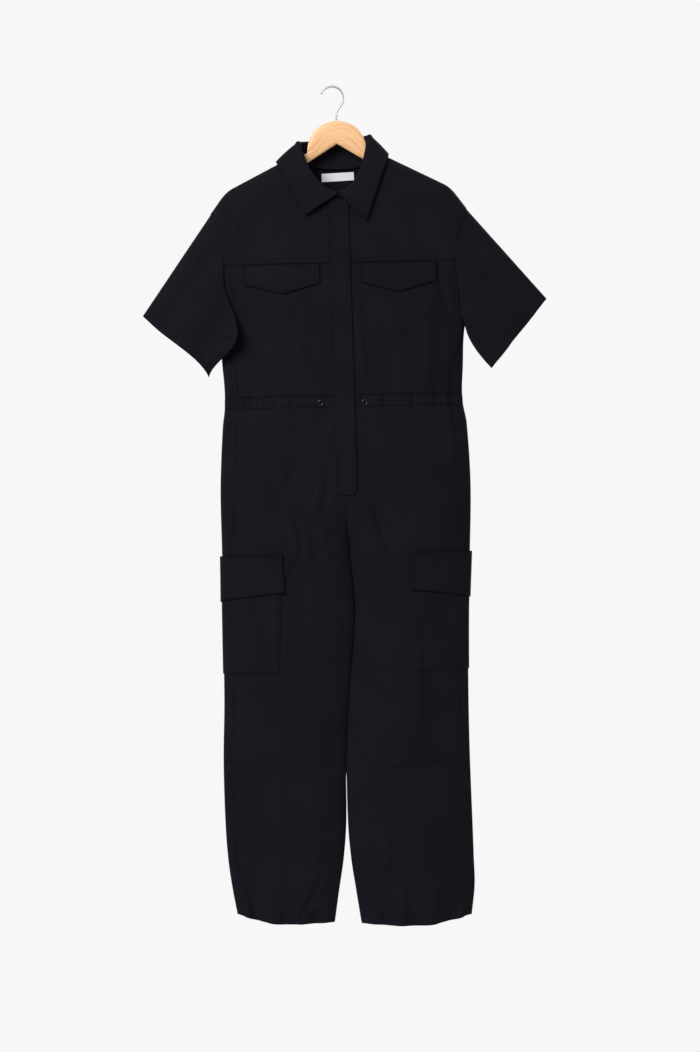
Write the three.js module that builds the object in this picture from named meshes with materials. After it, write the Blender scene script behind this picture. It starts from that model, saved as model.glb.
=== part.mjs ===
// A short-sleeved cargo jumpsuit hanging flat on a wooden clothes hanger.
//
// Millimetres, +Z up. The origin is the inside top of the hanger's hook, where a rail or peg holds it.
// The garment's front faces -Y, and +X is the wearer's left. Every cloth panel is a thin wall worked out
// from one hollow body shape: sections down the garment, flattened front to back, that split into two legs.

import * as THREE from "three";

// Cloth
const CLOTH = 1.6; // thickness of a single panel
const FOLDED = 2; // thickness of a doubled piece, such as a flap or the placket
const SEAM = 0.3; // gap between pieces at a seam, and under what lies on a panel
const CENTRE = 8; // the garment's middle, to the wearer's left of the hook's resting point

// Levels down the garment
const NECK_SIDE_Z = -128;
const SHOULDER_POINT_Z = -238;
const YOKE_SEAM_Z = -337;
const UNDERARM_Z = -455;
const CASING_TOP_Z = -588;
const WAIST_SEAM_Z = -610;
const FORK_TOP_Z = -765; // where the front and back start to draw in towards the crotch
const CROTCH_Z = -885;

// The shoulder line, measured across from the middle
const NECK_HALF = 82;
const SHOULDER_BEND = 214; // over the hanger's end, where the line turns down into the sleeve
const SHOULDER_ROUND = 12; // half the distance over which that bend is rounded
const SHOULDER_SLOPE = 0.506;
const SLEEVE_SLOPE = 1.37;
const SHOULDER_CAP = 70; // drop over which the cloth rounds from the shoulder line to its full depth
const FRONT_NECK_DROP = 87;
const BACK_NECK_DROP = 30;

// Sections down the garment: the outline on the wearer's right and left, the inner edges of the legs,
// and how far the cloth stands in front of and behind the hanger's plane.
// Above the underarm the sides are where the section would close if the sleeves weren't there.
const SECTIONS = [
  { z: -128, right: -303, left: 317, innerRight: 7, innerLeft: 7, front: 33, back: 25 },
  { z: -337, right: -290, left: 304, innerRight: 7, innerLeft: 7, front: 37, back: 28 },
  { z: -410, right: -252, left: 266, innerRight: 8, innerLeft: 8, front: 37, back: 28 },
  { z: -455, right: -229, left: 245, innerRight: 8, innerLeft: 8, front: 36, back: 27 },
  { z: -540, right: -219, left: 238, innerRight: 9, innerLeft: 9, front: 33, back: 25 },
  { z: -600, right: -216, left: 235, innerRight: 9, innerLeft: 9, front: 30, back: 23 },
  { z: -645, right: -222, left: 243, innerRight: 10, innerLeft: 10, front: 32, back: 25 },
  { z: -760, right: -229, left: 248, innerRight: 10, innerLeft: 10, front: 34, back: 26 },
  { z: -885, right: -229, left: 244, innerRight: 14.6, innerLeft: 15.4, front: 31, back: 25 },
  { z: -1000, right: -230, left: 238, innerRight: 21.6, innerLeft: 22.4, front: 28, back: 24 },
  { z: -1163, right: -231, left: 235, innerRight: 6.6, innerLeft: 7.4, front: 26, back: 23 },
  { z: -1280, right: -235, left: 235, innerRight: -1.2, innerLeft: -0.2, front: 25, back: 22 },
  { z: -1400, right: -234, left: 237, innerRight: -3.4, innerLeft: -0.6, front: 25, back: 22 },
  { z: -1470, right: -230, left: 238, innerRight: -10, innerLeft: 4, front: 24, back: 21 },
  { z: -1530, right: -222, left: 238, innerRight: -20, innerLeft: 12, front: 21, back: 19 },
  { z: -1600, right: -208, left: 227, innerRight: -31, innerLeft: 22, front: 18, back: 16 },
];
const EDGE_POWER = 0.8; // under 1 rounds the section's sides, 1 makes it an ellipse

// The armhole seam, measured across from the middle
const ARMHOLE = [
  { z: -238, across: 245 },
  { z: -262, across: 233 },
  { z: -295, across: 226 },
  { z: -345, across: 222 },
  { z: -400, across: 225 },
  { z: -435, across: 230 },
  { z: -455, across: 237 },
];

// The side seams lie a little in front of the outline, because the back is cut wider.
const TRUNK_SEAM_SHARE = 0.7;
const LEG_SEAM_SHARE = 0.83;
const SEAM_RETURN = 50; // drop below the underarm over which the side seam comes round to the front

// Sleeves: the cuff's corners and depth, how far its middle is drawn up, how the underarm edge is drawn off
// the straight line, and how far that edge laps across and in front of the body
const SLEEVES = {
  right: { outer: [-370, -428], inner: [-246, -547], depth: 17, bow: 11, drawn: [0, 0, 0], lap: [38, -44] },
  left: { outer: [401, -412], inner: [293, -542], depth: 17, bow: 0, drawn: [-6, -4, 4], lap: [0, 0] },
};
const SLEEVE_START = 0.45; // how far outside the armhole edge the sleeve begins
// Hanging folds down each sleeve: place round the front half, width, depth, all as shares of the half girth or mm
const SLEEVE_FOLDS = [
  { round: 0.5, width: 0.1, depth: -5 },
  { round: 0.68, width: 0.09, depth: 4 },
];

// Hems of the legs: heights at the outer, middle and inner points
const HEMS = {
  right: { outer: -1572, middle: -1593, inner: -1591 },
  left: { outer: -1582, middle: -1601, inner: -1594 },
};

// Gathers
const WAIST_GATHER = { waves: 6, height: 2.4, reach: 34, flatTo: 0.05, fullFrom: 0.18 };
const HEM_GATHER = { waves: 5, height: 2.2, reach: 26 };

// Broad folds pressed or hung into the front: both ends across and down, half width, depth
const FRONT_FOLDS = [
  { x1: -66, z1: -800, x2: -44, z2: -895, width: 13, depth: 3.2 },
  { x1: -44, z1: -895, x2: -100, z2: -985, width: 14, depth: 3 },
  { x1: 60, z1: -775, x2: 84, z2: -885, width: 13, depth: 3.2 },
  { x1: -18, z1: -730, x2: -30, z2: -880, width: 10, depth: 2.6 },
  { x1: 186, z1: -330, x2: 212, z2: -430, width: 12, depth: 3.4 },
  { x1: -196, z1: -340, x2: -186, z2: -450, width: 12, depth: 3 },
  { x1: -188, z1: -1490, x2: -172, z2: -1575, width: 9, depth: 3.4 },
  { x1: -70, z1: -1540, x2: -96, z2: -1575, width: 9, depth: 3 },
];

// The rows of the panels. Panels that meet at the side seam share theirs, and the last share runs to the hem.
const FRONT_LEVELS = [-337, -375, -415, -455, -472, -490, -508, -548, -588];
const SIDE_LEVELS = FRONT_LEVELS.slice(3);
const LEG_LEVELS = [-610, -630, -665, -730, -800, -889, -965, -1040, -1113, -1200, -1280, -1370, -1460];
const HEM_ROWS = 2;
const LEG_COLUMNS = 16; // in each front and each back of a leg

// Pieces that lie on the panels
const PLACKET = { topX: -12.5, bottomX: -7, width: 40, top: -213, bottom: -778, foot: 7 };
const CHEST_FLAP = { across: 110.5, width: 144, side: 37, point: 56 };
const CARGO_FLAP = { inner: 122, top: -889, side: 72, point: 88 };
const CARGO_BAG = { inner: 131, top: -893, bottom: -1113 };
const EYELET = { across: 42, z: -602, hole: 2.8, rim: 6.2, height: 1.6, lift: 1.2 };
const LABEL = { width: 62, height: 16, top: -161 };

// Collar: the fold line stands round the neck, and the leaf falls from it to its outer edge
const FOLD_LINE = { half: 64, lean: 6, front: -36, back: 29, low: -207, high: -102, tilt: 5 };
const COLLAR_ROLL = 4;
const LEAF_STAND_OFF = 6; // how far the leaf's edge stands off the front
const COLLAR_BACK_EDGE_Z = -160;
const COLLAR_SIDE = { right: { across: 116, z: -146 }, left: { across: 97, z: -136 } };
const COLLAR_TIPS = { right: [-54, -247], left: [60, -260] };

// Hanger and hook
const HANGER = { dome: 57, domeTop: -64, notch: -108, end: 206, drop: 5, neckDip: 3, endHeight: 20, thick: 12, bevel: 3 };
const HOOK = { wire: 1.9, bend: 22, tipAngle: 158, leaveAngle: -32 };

const sideSign = { right: -1, left: 1 };
const lerp = (a, b, t) => a + (b - a) * t;
const clamp01 = (t) => Math.min(1, Math.max(0, t));
const smooth = (t) => clamp01(t) ** 2 * (3 - 2 * clamp01(t));

// The value reached in a list at a share of its length. Just outside the list it runs on in a straight line.
function along(list, share) {
  const place = share * (list.length - 1);
  const i = Math.min(list.length - 2, Math.max(0, Math.floor(place)));
  return lerp(list[i], list[i + 1], place - i);
}

// One column of a table at a level, as a smooth curve through its rows.
function level(rows, key, z) {
  const last = rows.length - 1;
  if (z >= rows[0].z) return rows[0][key];
  if (z <= rows[last].z) return rows[last][key];
  const i = rows.findIndex((row, n) => n < last && z <= row.z && z >= rows[n + 1].z);
  const slope = (n) => {
    const before = rows[Math.max(0, n - 1)];
    const after = rows[Math.min(last, n + 1)];
    return (after[key] - before[key]) / (after.z - before.z);
  };
  const step = rows[i + 1].z - rows[i].z;
  const t = (z - rows[i].z) / step;
  const bend = t * (1 - t) * step * (slope(i) * (1 - t) - slope(i + 1) * t);
  const weight = smooth(t);
  return lerp(rows[i][key], rows[i + 1][key], weight) + bend;
}

// Height of the shoulder line at a distance across from the middle. Its bend at the hanger's end is rounded.
function shoulderZ(across) {
  const out = Math.max(0, Math.abs(across) - NECK_HALF);
  const past = out - (SHOULDER_BEND - NECK_HALF);
  const inBend = Math.max(0, past + SHOULDER_ROUND) ** 2 / (4 * SHOULDER_ROUND);
  const turned = past > SHOULDER_ROUND ? past : inBend;
  return NECK_SIDE_Z - SHOULDER_SLOPE * out - (SLEEVE_SLOPE - SHOULDER_SLOPE) * turned;
}

// Share of the full depth that the cloth has reached at a drop below the shoulder line.
const capAt = (drop) => Math.sqrt(Math.max(0, 1 - (1 - clamp01(drop / SHOULDER_CAP)) ** 2));

// The gathers leave the middle of the front flat under the placket.
const waistGather = (q, z) =>
  WAIST_GATHER.height *
  smooth((q - WAIST_GATHER.flatTo) / (WAIST_GATHER.fullFrom - WAIST_GATHER.flatTo)) *
  Math.exp(-Math.abs(z - (CASING_TOP_Z + WAIST_SEAM_Z) / 2) / WAIST_GATHER.reach) *
  Math.cos(2 * Math.PI * WAIST_GATHER.waves * q);

const hemGather = (q, z) =>
  HEM_GATHER.height * Math.exp((HEMS.right.outer - z) / HEM_GATHER.reach) * Math.cos(2 * Math.PI * HEM_GATHER.waves * q);

// Depth of the broad folds at a place on the front.
function foldDepth(x, z) {
  let depth = 0;
  for (const fold of FRONT_FOLDS) {
    const [dx, dz] = [fold.x2 - fold.x1, fold.z2 - fold.z1];
    const t = clamp01(((x - fold.x1) * dx + (z - fold.z1) * dz) / (dx * dx + dz * dz));
    const away = Math.hypot(x - fold.x1 - t * dx, z - fold.z1 - t * dz);
    depth += fold.depth * Math.exp(-((away / fold.width) ** 2)) * Math.sin(Math.PI * lerp(0.2, 0.8, t));
  }
  return depth;
}

// A point of the body's outer face on one side. q runs round the half section: 0 at the centre front or
// inner leg, 1 at the outline, 2 at the centre back or inner leg again.
function body(side, q, z) {
  const sign = sideSign[side];
  const outline = level(SECTIONS, side, z);
  const inner = level(SECTIONS, side === "left" ? "innerLeft" : "innerRight", z);
  const [front, back] = [level(SECTIONS, "front", z), level(SECTIONS, "back", z)];
  const depth = (angle) =>
    (Math.cos(angle) > 0 ? -front : back) * Math.abs(Math.cos(angle)) ** EDGE_POWER;
  const trunkAngle = (q * Math.PI) / 2;
  const legAngle = q * Math.PI - Math.PI / 2;
  const fork = smooth((FORK_TOP_Z - z) / (FORK_TOP_Z - CROTCH_Z));
  const middle = (level(SECTIONS, "right", z) + level(SECTIONS, "left", z)) / 2;
  const trunkX = middle + (outline - middle) * Math.sin(trunkAngle);
  const legX = (outline + inner) / 2 + ((outline - inner) / 2) * Math.sin(legAngle);
  const x = lerp(trunkX, legX, fork);
  const cap = capAt(shoulderZ(x - CENTRE) - z);
  const y = lerp(depth(trunkAngle), depth(legAngle), fork) * cap;
  const facing = lerp(Math.cos(trunkAngle), Math.cos(legAngle), fork);
  const outward = new THREE.Vector2(sign * Math.sin(trunkAngle), -facing);
  const gather = waistGather(q, z) + (z < CROTCH_Z ? hemGather(q, z) : 0);
  const fold = facing > 0 ? foldDepth(x, z) * facing : 0;
  return new THREE.Vector3(x + outward.x * gather * 0.5, y + outward.y * gather + fold, z);
}

// The share q at which the front half section reaches a place across.
function shareAt(side, x, z) {
  let [low, high] = [0, 1];
  for (let i = 0; i < 30; i++) {
    const mid = (low + high) / 2;
    if ((body(side, mid, z).x - x) * sideSign[side] < 0) low = mid;
    else high = mid;
  }
  return (low + high) / 2;
}
const onFront = (x, z) => {
  const side = x > body("left", 0, z).x ? "left" : "right";
  return body(side, shareAt(side, x, z), z);
};

const armholeX = (side, z) => CENTRE + sideSign[side] * level(ARMHOLE, "across", z);

// The share q of the side seam, which comes round to the front below the underarm.
function sideSeam(z) {
  const fork = smooth((FORK_TOP_Z - z) / (FORK_TOP_Z - CROTCH_Z));
  const share = lerp(TRUNK_SEAM_SHARE, LEG_SEAM_SHARE, fork);
  return lerp(1, share, smooth((UNDERARM_Z - z) / SEAM_RETURN));
}

const hemZ = (side, q) => {
  const hem = HEMS[side];
  const across = (1 - Math.cos(Math.PI * q)) / 2; // 0 at the inner edge, 1 at the outline
  return across < 0.5
    ? lerp(hem.inner, hem.middle, Math.sin(Math.PI * across))
    : lerp(hem.outer, hem.middle, Math.sin(Math.PI * across));
};

// A closed wall between two offsets from a surface. at(u, v) gives the surface for u and v from 0 to 1,
// with its outside on the side that u cross v points to. The borders stand back by half a seam.
function wall(at, columns, rows, inside, outside, { closed = false, turned = false, inset = SEAM / 2 } = {}) {
  const step = 1e-3;
  const face = (u, v, offset) => {
    const du = at(u + step, v).sub(at(u - step, v));
    const dv = at(u, v + step).sub(at(u, v - step));
    const normal = du.cross(dv).normalize();
    return at(u, v).addScaledVector(normal, turned ? -offset : offset);
  };
  const pulled = (n, count, speed) => {
    if (n === 0) return inset / speed;
    if (n === count) return 1 - inset / speed;
    return n / count;
  };
  const positions = [];
  for (const offset of [outside, inside]) {
    for (let j = 0; j <= rows; j++) {
      for (let i = 0; i < columns + (closed ? 0 : 1); i++) {
        const [u0, v0] = [i / columns, j / rows];
        const speedU = at(u0 + step, v0).distanceTo(at(u0 - step, v0)) / (2 * step);
        const speedV = at(u0, v0 + step).distanceTo(at(u0, v0 - step)) / (2 * step);
        const u = closed ? u0 : pulled(i, columns, Math.max(speedU, 1));
        const v = pulled(j, rows, Math.max(speedV, 1));
        positions.push(...face(u, v, offset).toArray());
      }
    }
  }
  const across = closed ? columns : columns + 1;
  const far = across * (rows + 1);
  const id = (i, j, layer) => layer * far + j * across + (i % across);
  const triangles = [];
  const quad = (a, b, c, d) => (turned ? triangles.push(a, c, b, a, d, c) : triangles.push(a, b, c, a, c, d));
  for (let j = 0; j < rows; j++) {
    for (let i = 0; i < columns; i++) {
      quad(id(i, j, 0), id(i + 1, j, 0), id(i + 1, j + 1, 0), id(i, j + 1, 0));
      quad(id(i, j, 1), id(i, j + 1, 1), id(i + 1, j + 1, 1), id(i + 1, j, 1));
    }
  }
  for (let i = 0; i < columns; i++) {
    quad(id(i, 0, 0), id(i, 0, 1), id(i + 1, 0, 1), id(i + 1, 0, 0));
    quad(id(i, rows, 0), id(i + 1, rows, 0), id(i + 1, rows, 1), id(i, rows, 1));
  }
  for (let j = 0; j < rows && !closed; j++) {
    quad(id(0, j, 0), id(0, j + 1, 0), id(0, j + 1, 1), id(0, j, 1));
    quad(id(columns, j, 0), id(columns, j, 1), id(columns, j + 1, 1), id(columns, j + 1, 0));
  }
  const geometry = new THREE.BufferGeometry();
  geometry.setAttribute("position", new THREE.Float32BufferAttribute(positions, 3));
  geometry.setIndex(triangles);
  geometry.computeVertexNormals();
  return geometry;
}

const CLOTH_MATERIAL = { color: 0x17181d, roughness: 0.85, metalness: 0 };
const materials = {
  cloth: new THREE.MeshStandardMaterial(CLOTH_MATERIAL),
  label: new THREE.MeshStandardMaterial({ color: 0xf2f1f4, roughness: 0.6, metalness: 0 }),
  wood: new THREE.MeshStandardMaterial({ color: 0xe8b777, roughness: 0.5, metalness: 0 }),
  steel: new THREE.MeshStandardMaterial({ color: 0xb9bbbd, roughness: 0.25, metalness: 1 }),
  gunmetal: new THREE.MeshStandardMaterial({ color: 0x2b2a2c, roughness: 0.3, metalness: 1 }),
};

const jumpsuit = new THREE.Group();
// Adds a piece with a copy of the material of its own.
function add(name, geometry, material) {
  const mesh = new THREE.Mesh(geometry, material.clone());
  mesh.name = name;
  jumpsuit.add(mesh);
  return mesh;
}

// For the wearer's right, u runs the other way round, so the wall is turned to keep its outside out.
const turnedOn = (side) => ({ turned: side === "left" });

// Front neckline or shoulder line, whichever bounds the yoke at a place across.
function yokeTop(across, drop) {
  const share = clamp01(Math.abs(across) / NECK_HALF);
  return Math.abs(across) < NECK_HALF ? NECK_SIDE_Z - drop * Math.sqrt(1 - share * share) : shoulderZ(across);
}

// A point of the front or back above the underarm, at a place across and a height.
function chest(side, x, z, facing) {
  const middle = (level(SECTIONS, "right", z) + level(SECTIONS, "left", z)) / 2;
  const half = (level(SECTIONS, "left", z) - level(SECTIONS, "right", z)) / 2;
  const share = clamp01(Math.abs(x - middle) / half);
  const depth = level(SECTIONS, facing < 0 ? "front" : "back", z) * (1 - share * share) ** (EDGE_POWER / 2);
  const cap = capAt(shoulderZ(x - CENTRE) - z);
  const fold = facing < 0 ? foldDepth(x, z) * cap : 0;
  return new THREE.Vector3(x, facing * depth * cap + fold, z);
}

function frontYoke(side) {
  const at = (u, v) => {
    const down = Math.sign(v) * Math.abs(v) ** 2;
    const edgeZ = lerp(SHOULDER_POINT_Z, YOKE_SEAM_Z, down);
    const x = lerp(CENTRE, armholeX(side, edgeZ), u);
    const topX = lerp(CENTRE, armholeX(side, SHOULDER_POINT_Z), u);
    const z = lerp(yokeTop(topX - CENTRE, FRONT_NECK_DROP), YOKE_SEAM_Z, down);
    return chest(side, x, z, -1);
  };
  add(`front_yoke_${side}`, wall(at, 15, 8, -CLOTH, 0, turnedOn(side)), materials.cloth);
}

function frontEdge(side, z) {
  return z > UNDERARM_Z ? shareAt(side, armholeX(side, z), z) : sideSeam(z);
}

function frontBodice(side) {
  const at = (u, v) => {
    const z = along(FRONT_LEVELS, v);
    return body(side, u * frontEdge(side, z), z);
  };
  const rows = FRONT_LEVELS.length - 1;
  add(`front_bodice_${side}`, wall(at, 20, rows, -CLOTH, 0, turnedOn(side)), materials.cloth);
}

// The back goes from the neckline and shoulder seams to the waist in one piece. Its columns run from
// the wearer's right to left, and its rows are crowded under the shoulder line, where it rounds over.
function backBodice() {
  const upperRows = 8;
  const lowerRows = SIDE_LEVELS.length - 1;
  const underarmShare = upperRows / (upperRows + lowerRows);
  const at = (u, v) => {
    const side = u < 0.5 ? "right" : "left";
    const out = Math.abs(2 * u - 1);
    if (v > underarmShare) {
      const z = along(SIDE_LEVELS, (v - underarmShare) / (1 - underarmShare));
      return body(side, lerp(2, sideSeam(z), out), z);
    }
    const w = v / underarmShare;
    const down = Math.sign(w) * Math.abs(w) ** 2;
    const edgeZ = lerp(SHOULDER_POINT_Z, UNDERARM_Z, down);
    const round = Math.sin((out * Math.PI) / 2);
    const x = lerp(CENTRE, armholeX(side, edgeZ), round);
    const topX = lerp(CENTRE, armholeX(side, SHOULDER_POINT_Z), round);
    const z = lerp(yokeTop(topX - CENTRE, BACK_NECK_DROP), UNDERARM_Z, down);
    return chest(side, x, z, 1);
  };
  add("back_bodice", wall(at, 34, upperRows + lowerRows, -CLOTH, 0), materials.cloth);
}

function waistCasing() {
  const heightAt = (v) => lerp(CASING_TOP_Z, WAIST_SEAM_Z, v);
  for (const side of ["right", "left"]) {
    const at = (u, v) => body(side, u * sideSeam(heightAt(v)), heightAt(v));
    add(`waist_casing_front_${side}`, wall(at, 20, 1, -CLOTH, 0, turnedOn(side)), materials.cloth);
  }
  const back = (u, v) => {
    const side = u < 0.5 ? "right" : "left";
    return body(side, lerp(2, sideSeam(heightAt(v)), Math.abs(2 * u - 1)), heightAt(v));
  };
  add("waist_casing_back", wall(back, 44, 1, -CLOTH, 0), materials.cloth);
}

// Height of a place down a leg. The rows are level as far as the last level, then bend with the hem.
const levelShare = (LEG_LEVELS.length - 1) / (LEG_LEVELS.length - 1 + HEM_ROWS);
const legZ = (side, q, v) =>
  v <= levelShare
    ? along(LEG_LEVELS, v / levelShare)
    : lerp(LEG_LEVELS.at(-1), hemZ(side, q), (v - levelShare) / (1 - levelShare));

function trousers(side) {
  const rows = LEG_LEVELS.length - 1 + HEM_ROWS;
  const front = (u, v) => {
    const z = legZ(side, u, v);
    const q = u * sideSeam(z);
    return body(side, q, legZ(side, q, v));
  };
  add(`trouser_front_${side}`, wall(front, LEG_COLUMNS, rows, -CLOTH, 0, turnedOn(side)), materials.cloth);
  const back = (u, v) => {
    const z = legZ(side, 1, v);
    const q = lerp(2, sideSeam(z), u);
    return body(side, q, legZ(side, q, v));
  };
  const turned = side === "right";
  add(`trouser_back_${side}`, wall(back, LEG_COLUMNS, rows, -CLOTH, 0, { turned }), materials.cloth);
}

// A sleeve is lofted from the armhole seam to the cuff. t runs round: 0 at the top, half way at the underarm.
function sleeve(side) {
  const size = SLEEVES[side];
  const sign = sideSign[side];
  const middleZ = (SHOULDER_POINT_Z + UNDERARM_Z) / 2;
  const halfZ = (SHOULDER_POINT_Z - UNDERARM_Z) / 2;
  const outer = new THREE.Vector3(size.outer[0], 0, size.outer[1]);
  const inner = new THREE.Vector3(size.inner[0], 0, size.inner[1]);
  const at = (u, v) => {
    const angle = 2 * Math.PI * v;
    const z = middleZ + halfZ * Math.cos(angle);
    const seam = chest(side, armholeX(side, z), z, Math.sin(angle) > 0 ? -1 : 1);
    seam.x += sign * SLEEVE_START;
    const across = (1 - Math.cos(angle)) / 2; // 0 at the top, 1 at the underarm
    const cuff = outer.clone().lerp(inner, across);
    cuff.y = -size.depth * Math.sin(angle);
    const bow = size.bow * 4 * across ** 3 * (1 - across);
    cuff.x -= sign * bow;
    cuff.z += bow;
    const point = seam.lerp(cuff, u);
    point.add(new THREE.Vector3(...size.drawn).multiplyScalar(4 * u * (1 - u) * across ** 2));
    const lapShare = 6.75 * Math.max(0, u) * (1 - u) ** 2;
    const lapTurn = angle - Math.PI + 0.25;
    const lapRound = Math.exp(-((lapTurn / (lapTurn < 0 ? 0.7 : 0.42)) ** 2));
    point.x += size.lap[0] * lapShare * lapRound * smooth(u * 3);
    point.y += size.lap[1] * lapShare * lapRound * smooth(u * 6);
    const round = angle / Math.PI;
    for (const fold of SLEEVE_FOLDS) {
      const near = Math.exp(-(((round - fold.round) / fold.width) ** 2));
      point.y -= fold.depth * near * Math.sin(Math.PI * clamp01(u * 0.9 + 0.1)) ** 0.5;
    }
    return point;
  };
  add(
    `sleeve_${side}`,
    wall((u, v) => at(v, u), 28, 8, -CLOTH, 0, { closed: true, turned: side === "right" }),
    materials.cloth,
  );
}

function placket() {
  const at = (u, v) => {
    const z = lerp(PLACKET.top, PLACKET.bottom, v);
    const low = lerp(PLACKET.topX, PLACKET.bottomX, v);
    const foot = PLACKET.foot * Math.max(0, 1 - (1 - v) * 30) ** 2;
    return onFront(lerp(low + foot / 3, low + PLACKET.width - foot, u), z);
  };
  add("placket", wall(at, 6, 22, SEAM, SEAM + FOLDED, { turned: true, inset: 0 }), materials.cloth);
}

// A flap hangs from its top edge to a lower edge that points down in the middle.
function chestFlap(side) {
  const middle = CENTRE + sideSign[side] * CHEST_FLAP.across;
  const at = (u, v) => {
    const drop = lerp(CHEST_FLAP.side, CHEST_FLAP.point, 1 - Math.abs(2 * u - 1));
    const x = middle + (u - 0.5) * CHEST_FLAP.width;
    return onFront(x, YOKE_SEAM_Z - 0.5 - v * drop);
  };
  add(`chest_flap_${side}`, wall(at, 12, 4, SEAM, SEAM + FOLDED, { turned: true, inset: 0 }), materials.cloth);
}

// The cargo pocket lies round the outside of the thigh, with as much of it behind as in front. Its columns
// are the panels' own, so it follows them closely.
function cargoPocket(side) {
  const sign = sideSign[side];
  const turned = side === "left";
  const seam = LEG_SEAM_SHARE;
  const panelColumns = [];
  for (let i = 0; i <= LEG_COLUMNS; i++) panelColumns.push((i / LEG_COLUMNS) * seam);
  for (let i = LEG_COLUMNS - 1; i >= 0; i--) panelColumns.push(lerp(2, seam, i / LEG_COLUMNS));
  const columnsFrom = (inner, z) => {
    const start = shareAt(side, CENTRE + sign * inner, z);
    const kept = panelColumns.filter((q) => q > start + 0.015 && q < 2 - start - 0.015);
    return [start, ...kept, 2 - start];
  };
  const levels = LEG_LEVELS.filter((z) => z < CARGO_BAG.top && z >= CARGO_BAG.bottom);
  const bagColumns = columnsFrom(CARGO_BAG.inner, CARGO_BAG.top);
  const bag = (u, v) => body(side, along(bagColumns, u), along([CARGO_BAG.top, ...levels], v));
  add(
    `cargo_pocket_${side}`,
    wall(bag, bagColumns.length - 1, levels.length, SEAM, SEAM + CLOTH, { turned, inset: 0 }),
    materials.cloth,
  );
  const lift = SEAM + CLOTH + SEAM;
  const flapColumns = columnsFrom(CARGO_FLAP.inner, CARGO_FLAP.top);
  const flap = (u, v) => {
    const drop = lerp(CARGO_FLAP.side, CARGO_FLAP.point, 1 - Math.abs(2 * u - 1));
    return body(side, along(flapColumns, u), CARGO_FLAP.top - v * drop);
  };
  add(
    `cargo_flap_${side}`,
    wall(flap, flapColumns.length - 1, 3, lift, lift + FOLDED, { turned, inset: 0 }),
    materials.cloth,
  );
}

// The neckline seam, from the centre front (turn 0) round the wearer's left to the back and on.
function neckSeam(turn) {
  const x = CENTRE + NECK_HALF * Math.sin(turn);
  const facing = Math.cos(turn) > 0 ? -1 : 1;
  const drop = facing < 0 ? FRONT_NECK_DROP : BACK_NECK_DROP;
  const z = NECK_SIDE_Z - drop * Math.abs(Math.cos(turn)) - 0.01;
  return chest("left", x, z, facing);
}

function foldLine(turn) {
  const ahead = Math.cos(turn);
  const reach = Math.abs(ahead) ** 0.6;
  return new THREE.Vector3(
    CENTRE + FOLD_LINE.half * Math.sin(turn) - FOLD_LINE.lean * Math.sin(turn) ** 2,
    ahead > 0 ? FOLD_LINE.front * reach : FOLD_LINE.back * reach,
    lerp(FOLD_LINE.high + FOLD_LINE.tilt * Math.sin(turn), FOLD_LINE.low, Math.max(0, ahead) ** 1.4),
  );
}

// The leaf's outer edge: tip, up the collar's side, and level round the back.
function leafEdge(turn) {
  const side = Math.sin(turn) > 0 ? "left" : "right";
  const sign = sideSign[side];
  const collarSide = COLLAR_SIDE[side];
  const round = Math.abs(turn) / Math.PI; // 0 at the front, 1 at the centre back
  const sideShare = 0.5;
  if (round < sideShare) {
    const t = round / sideShare;
    const [tipX, tipZ] = COLLAR_TIPS[side];
    const x = lerp(tipX, CENTRE + sign * collarSide.across, t);
    const z = lerp(tipZ, collarSide.z, t);
    return new THREE.Vector3(x, chest(side, x, z, -1).y - LEAF_STAND_OFF, z + 5 * t ** 4);
  }
  const t = (round - sideShare) / (1 - sideShare);
  const x = CENTRE + sign * collarSide.across * Math.cos((t * Math.PI) / 2) ** 0.9;
  const z = lerp(collarSide.z + 5, COLLAR_BACK_EDGE_Z, Math.sin((t * Math.PI) / 2));
  return new THREE.Vector3(x, lerp(-LEAF_STAND_OFF, FOLD_LINE.back + 9, Math.sin((t * Math.PI) / 2) ** 0.7), z);
}

function collar() {
  const lap = 0.03; // the stand and leaf stop this turn short of the centre front
  const turnAt = (u) => lerp(-Math.PI + lap, Math.PI - lap, u);
  // u runs from the wearer's right front, round the back, to the left front.
  const around = (u) => (u < 0.5 ? -lerp(lap, Math.PI, 2 * u) : lerp(Math.PI, lap, 2 * u - 1));
  const stand = (u, v) => neckSeam(around(u)).add(new THREE.Vector3(0, 0, 2)).lerp(foldLine(around(u)), v);
  add("collar_stand", wall(stand, 36, 2, -FOLDED, 0, { turned: true, inset: 0.4 }), materials.cloth);
  const outwardAt = (turn) => new THREE.Vector3(Math.sin(turn) * 0.9, -Math.cos(turn), 0).normalize();
  const rollShare = 0.3;
  const leaf = (u, v) => {
    const turn = around(u);
    const fold = foldLine(turn);
    const outward = outwardAt(turn);
    if (v < rollShare) {
      const angle = (v / rollShare) * Math.PI;
      fold.addScaledVector(outward, COLLAR_ROLL * (1 - Math.cos(angle)));
      fold.z += COLLAR_ROLL * Math.sin(angle) + 0.3;
      return fold;
    }
    fold.addScaledVector(outward, 2 * COLLAR_ROLL);
    return fold.lerp(leafEdge(turn), (v - rollShare) / (1 - rollShare));
  };
  add("collar_leaf", wall(leaf, 36, 8, -FOLDED, 0, { turned: true, inset: 0 }), materials.cloth);
}

function neckLabel() {
  const at = (u, v) => chest("left", CENTRE + (u - 0.5) * LABEL.width, LABEL.top - v * LABEL.height, 1);
  const inner = -CLOTH - SEAM;
  add("neck_label", wall(at, 6, 1, inner - 1, inner, { inset: 0 }), materials.label);
}

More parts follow.
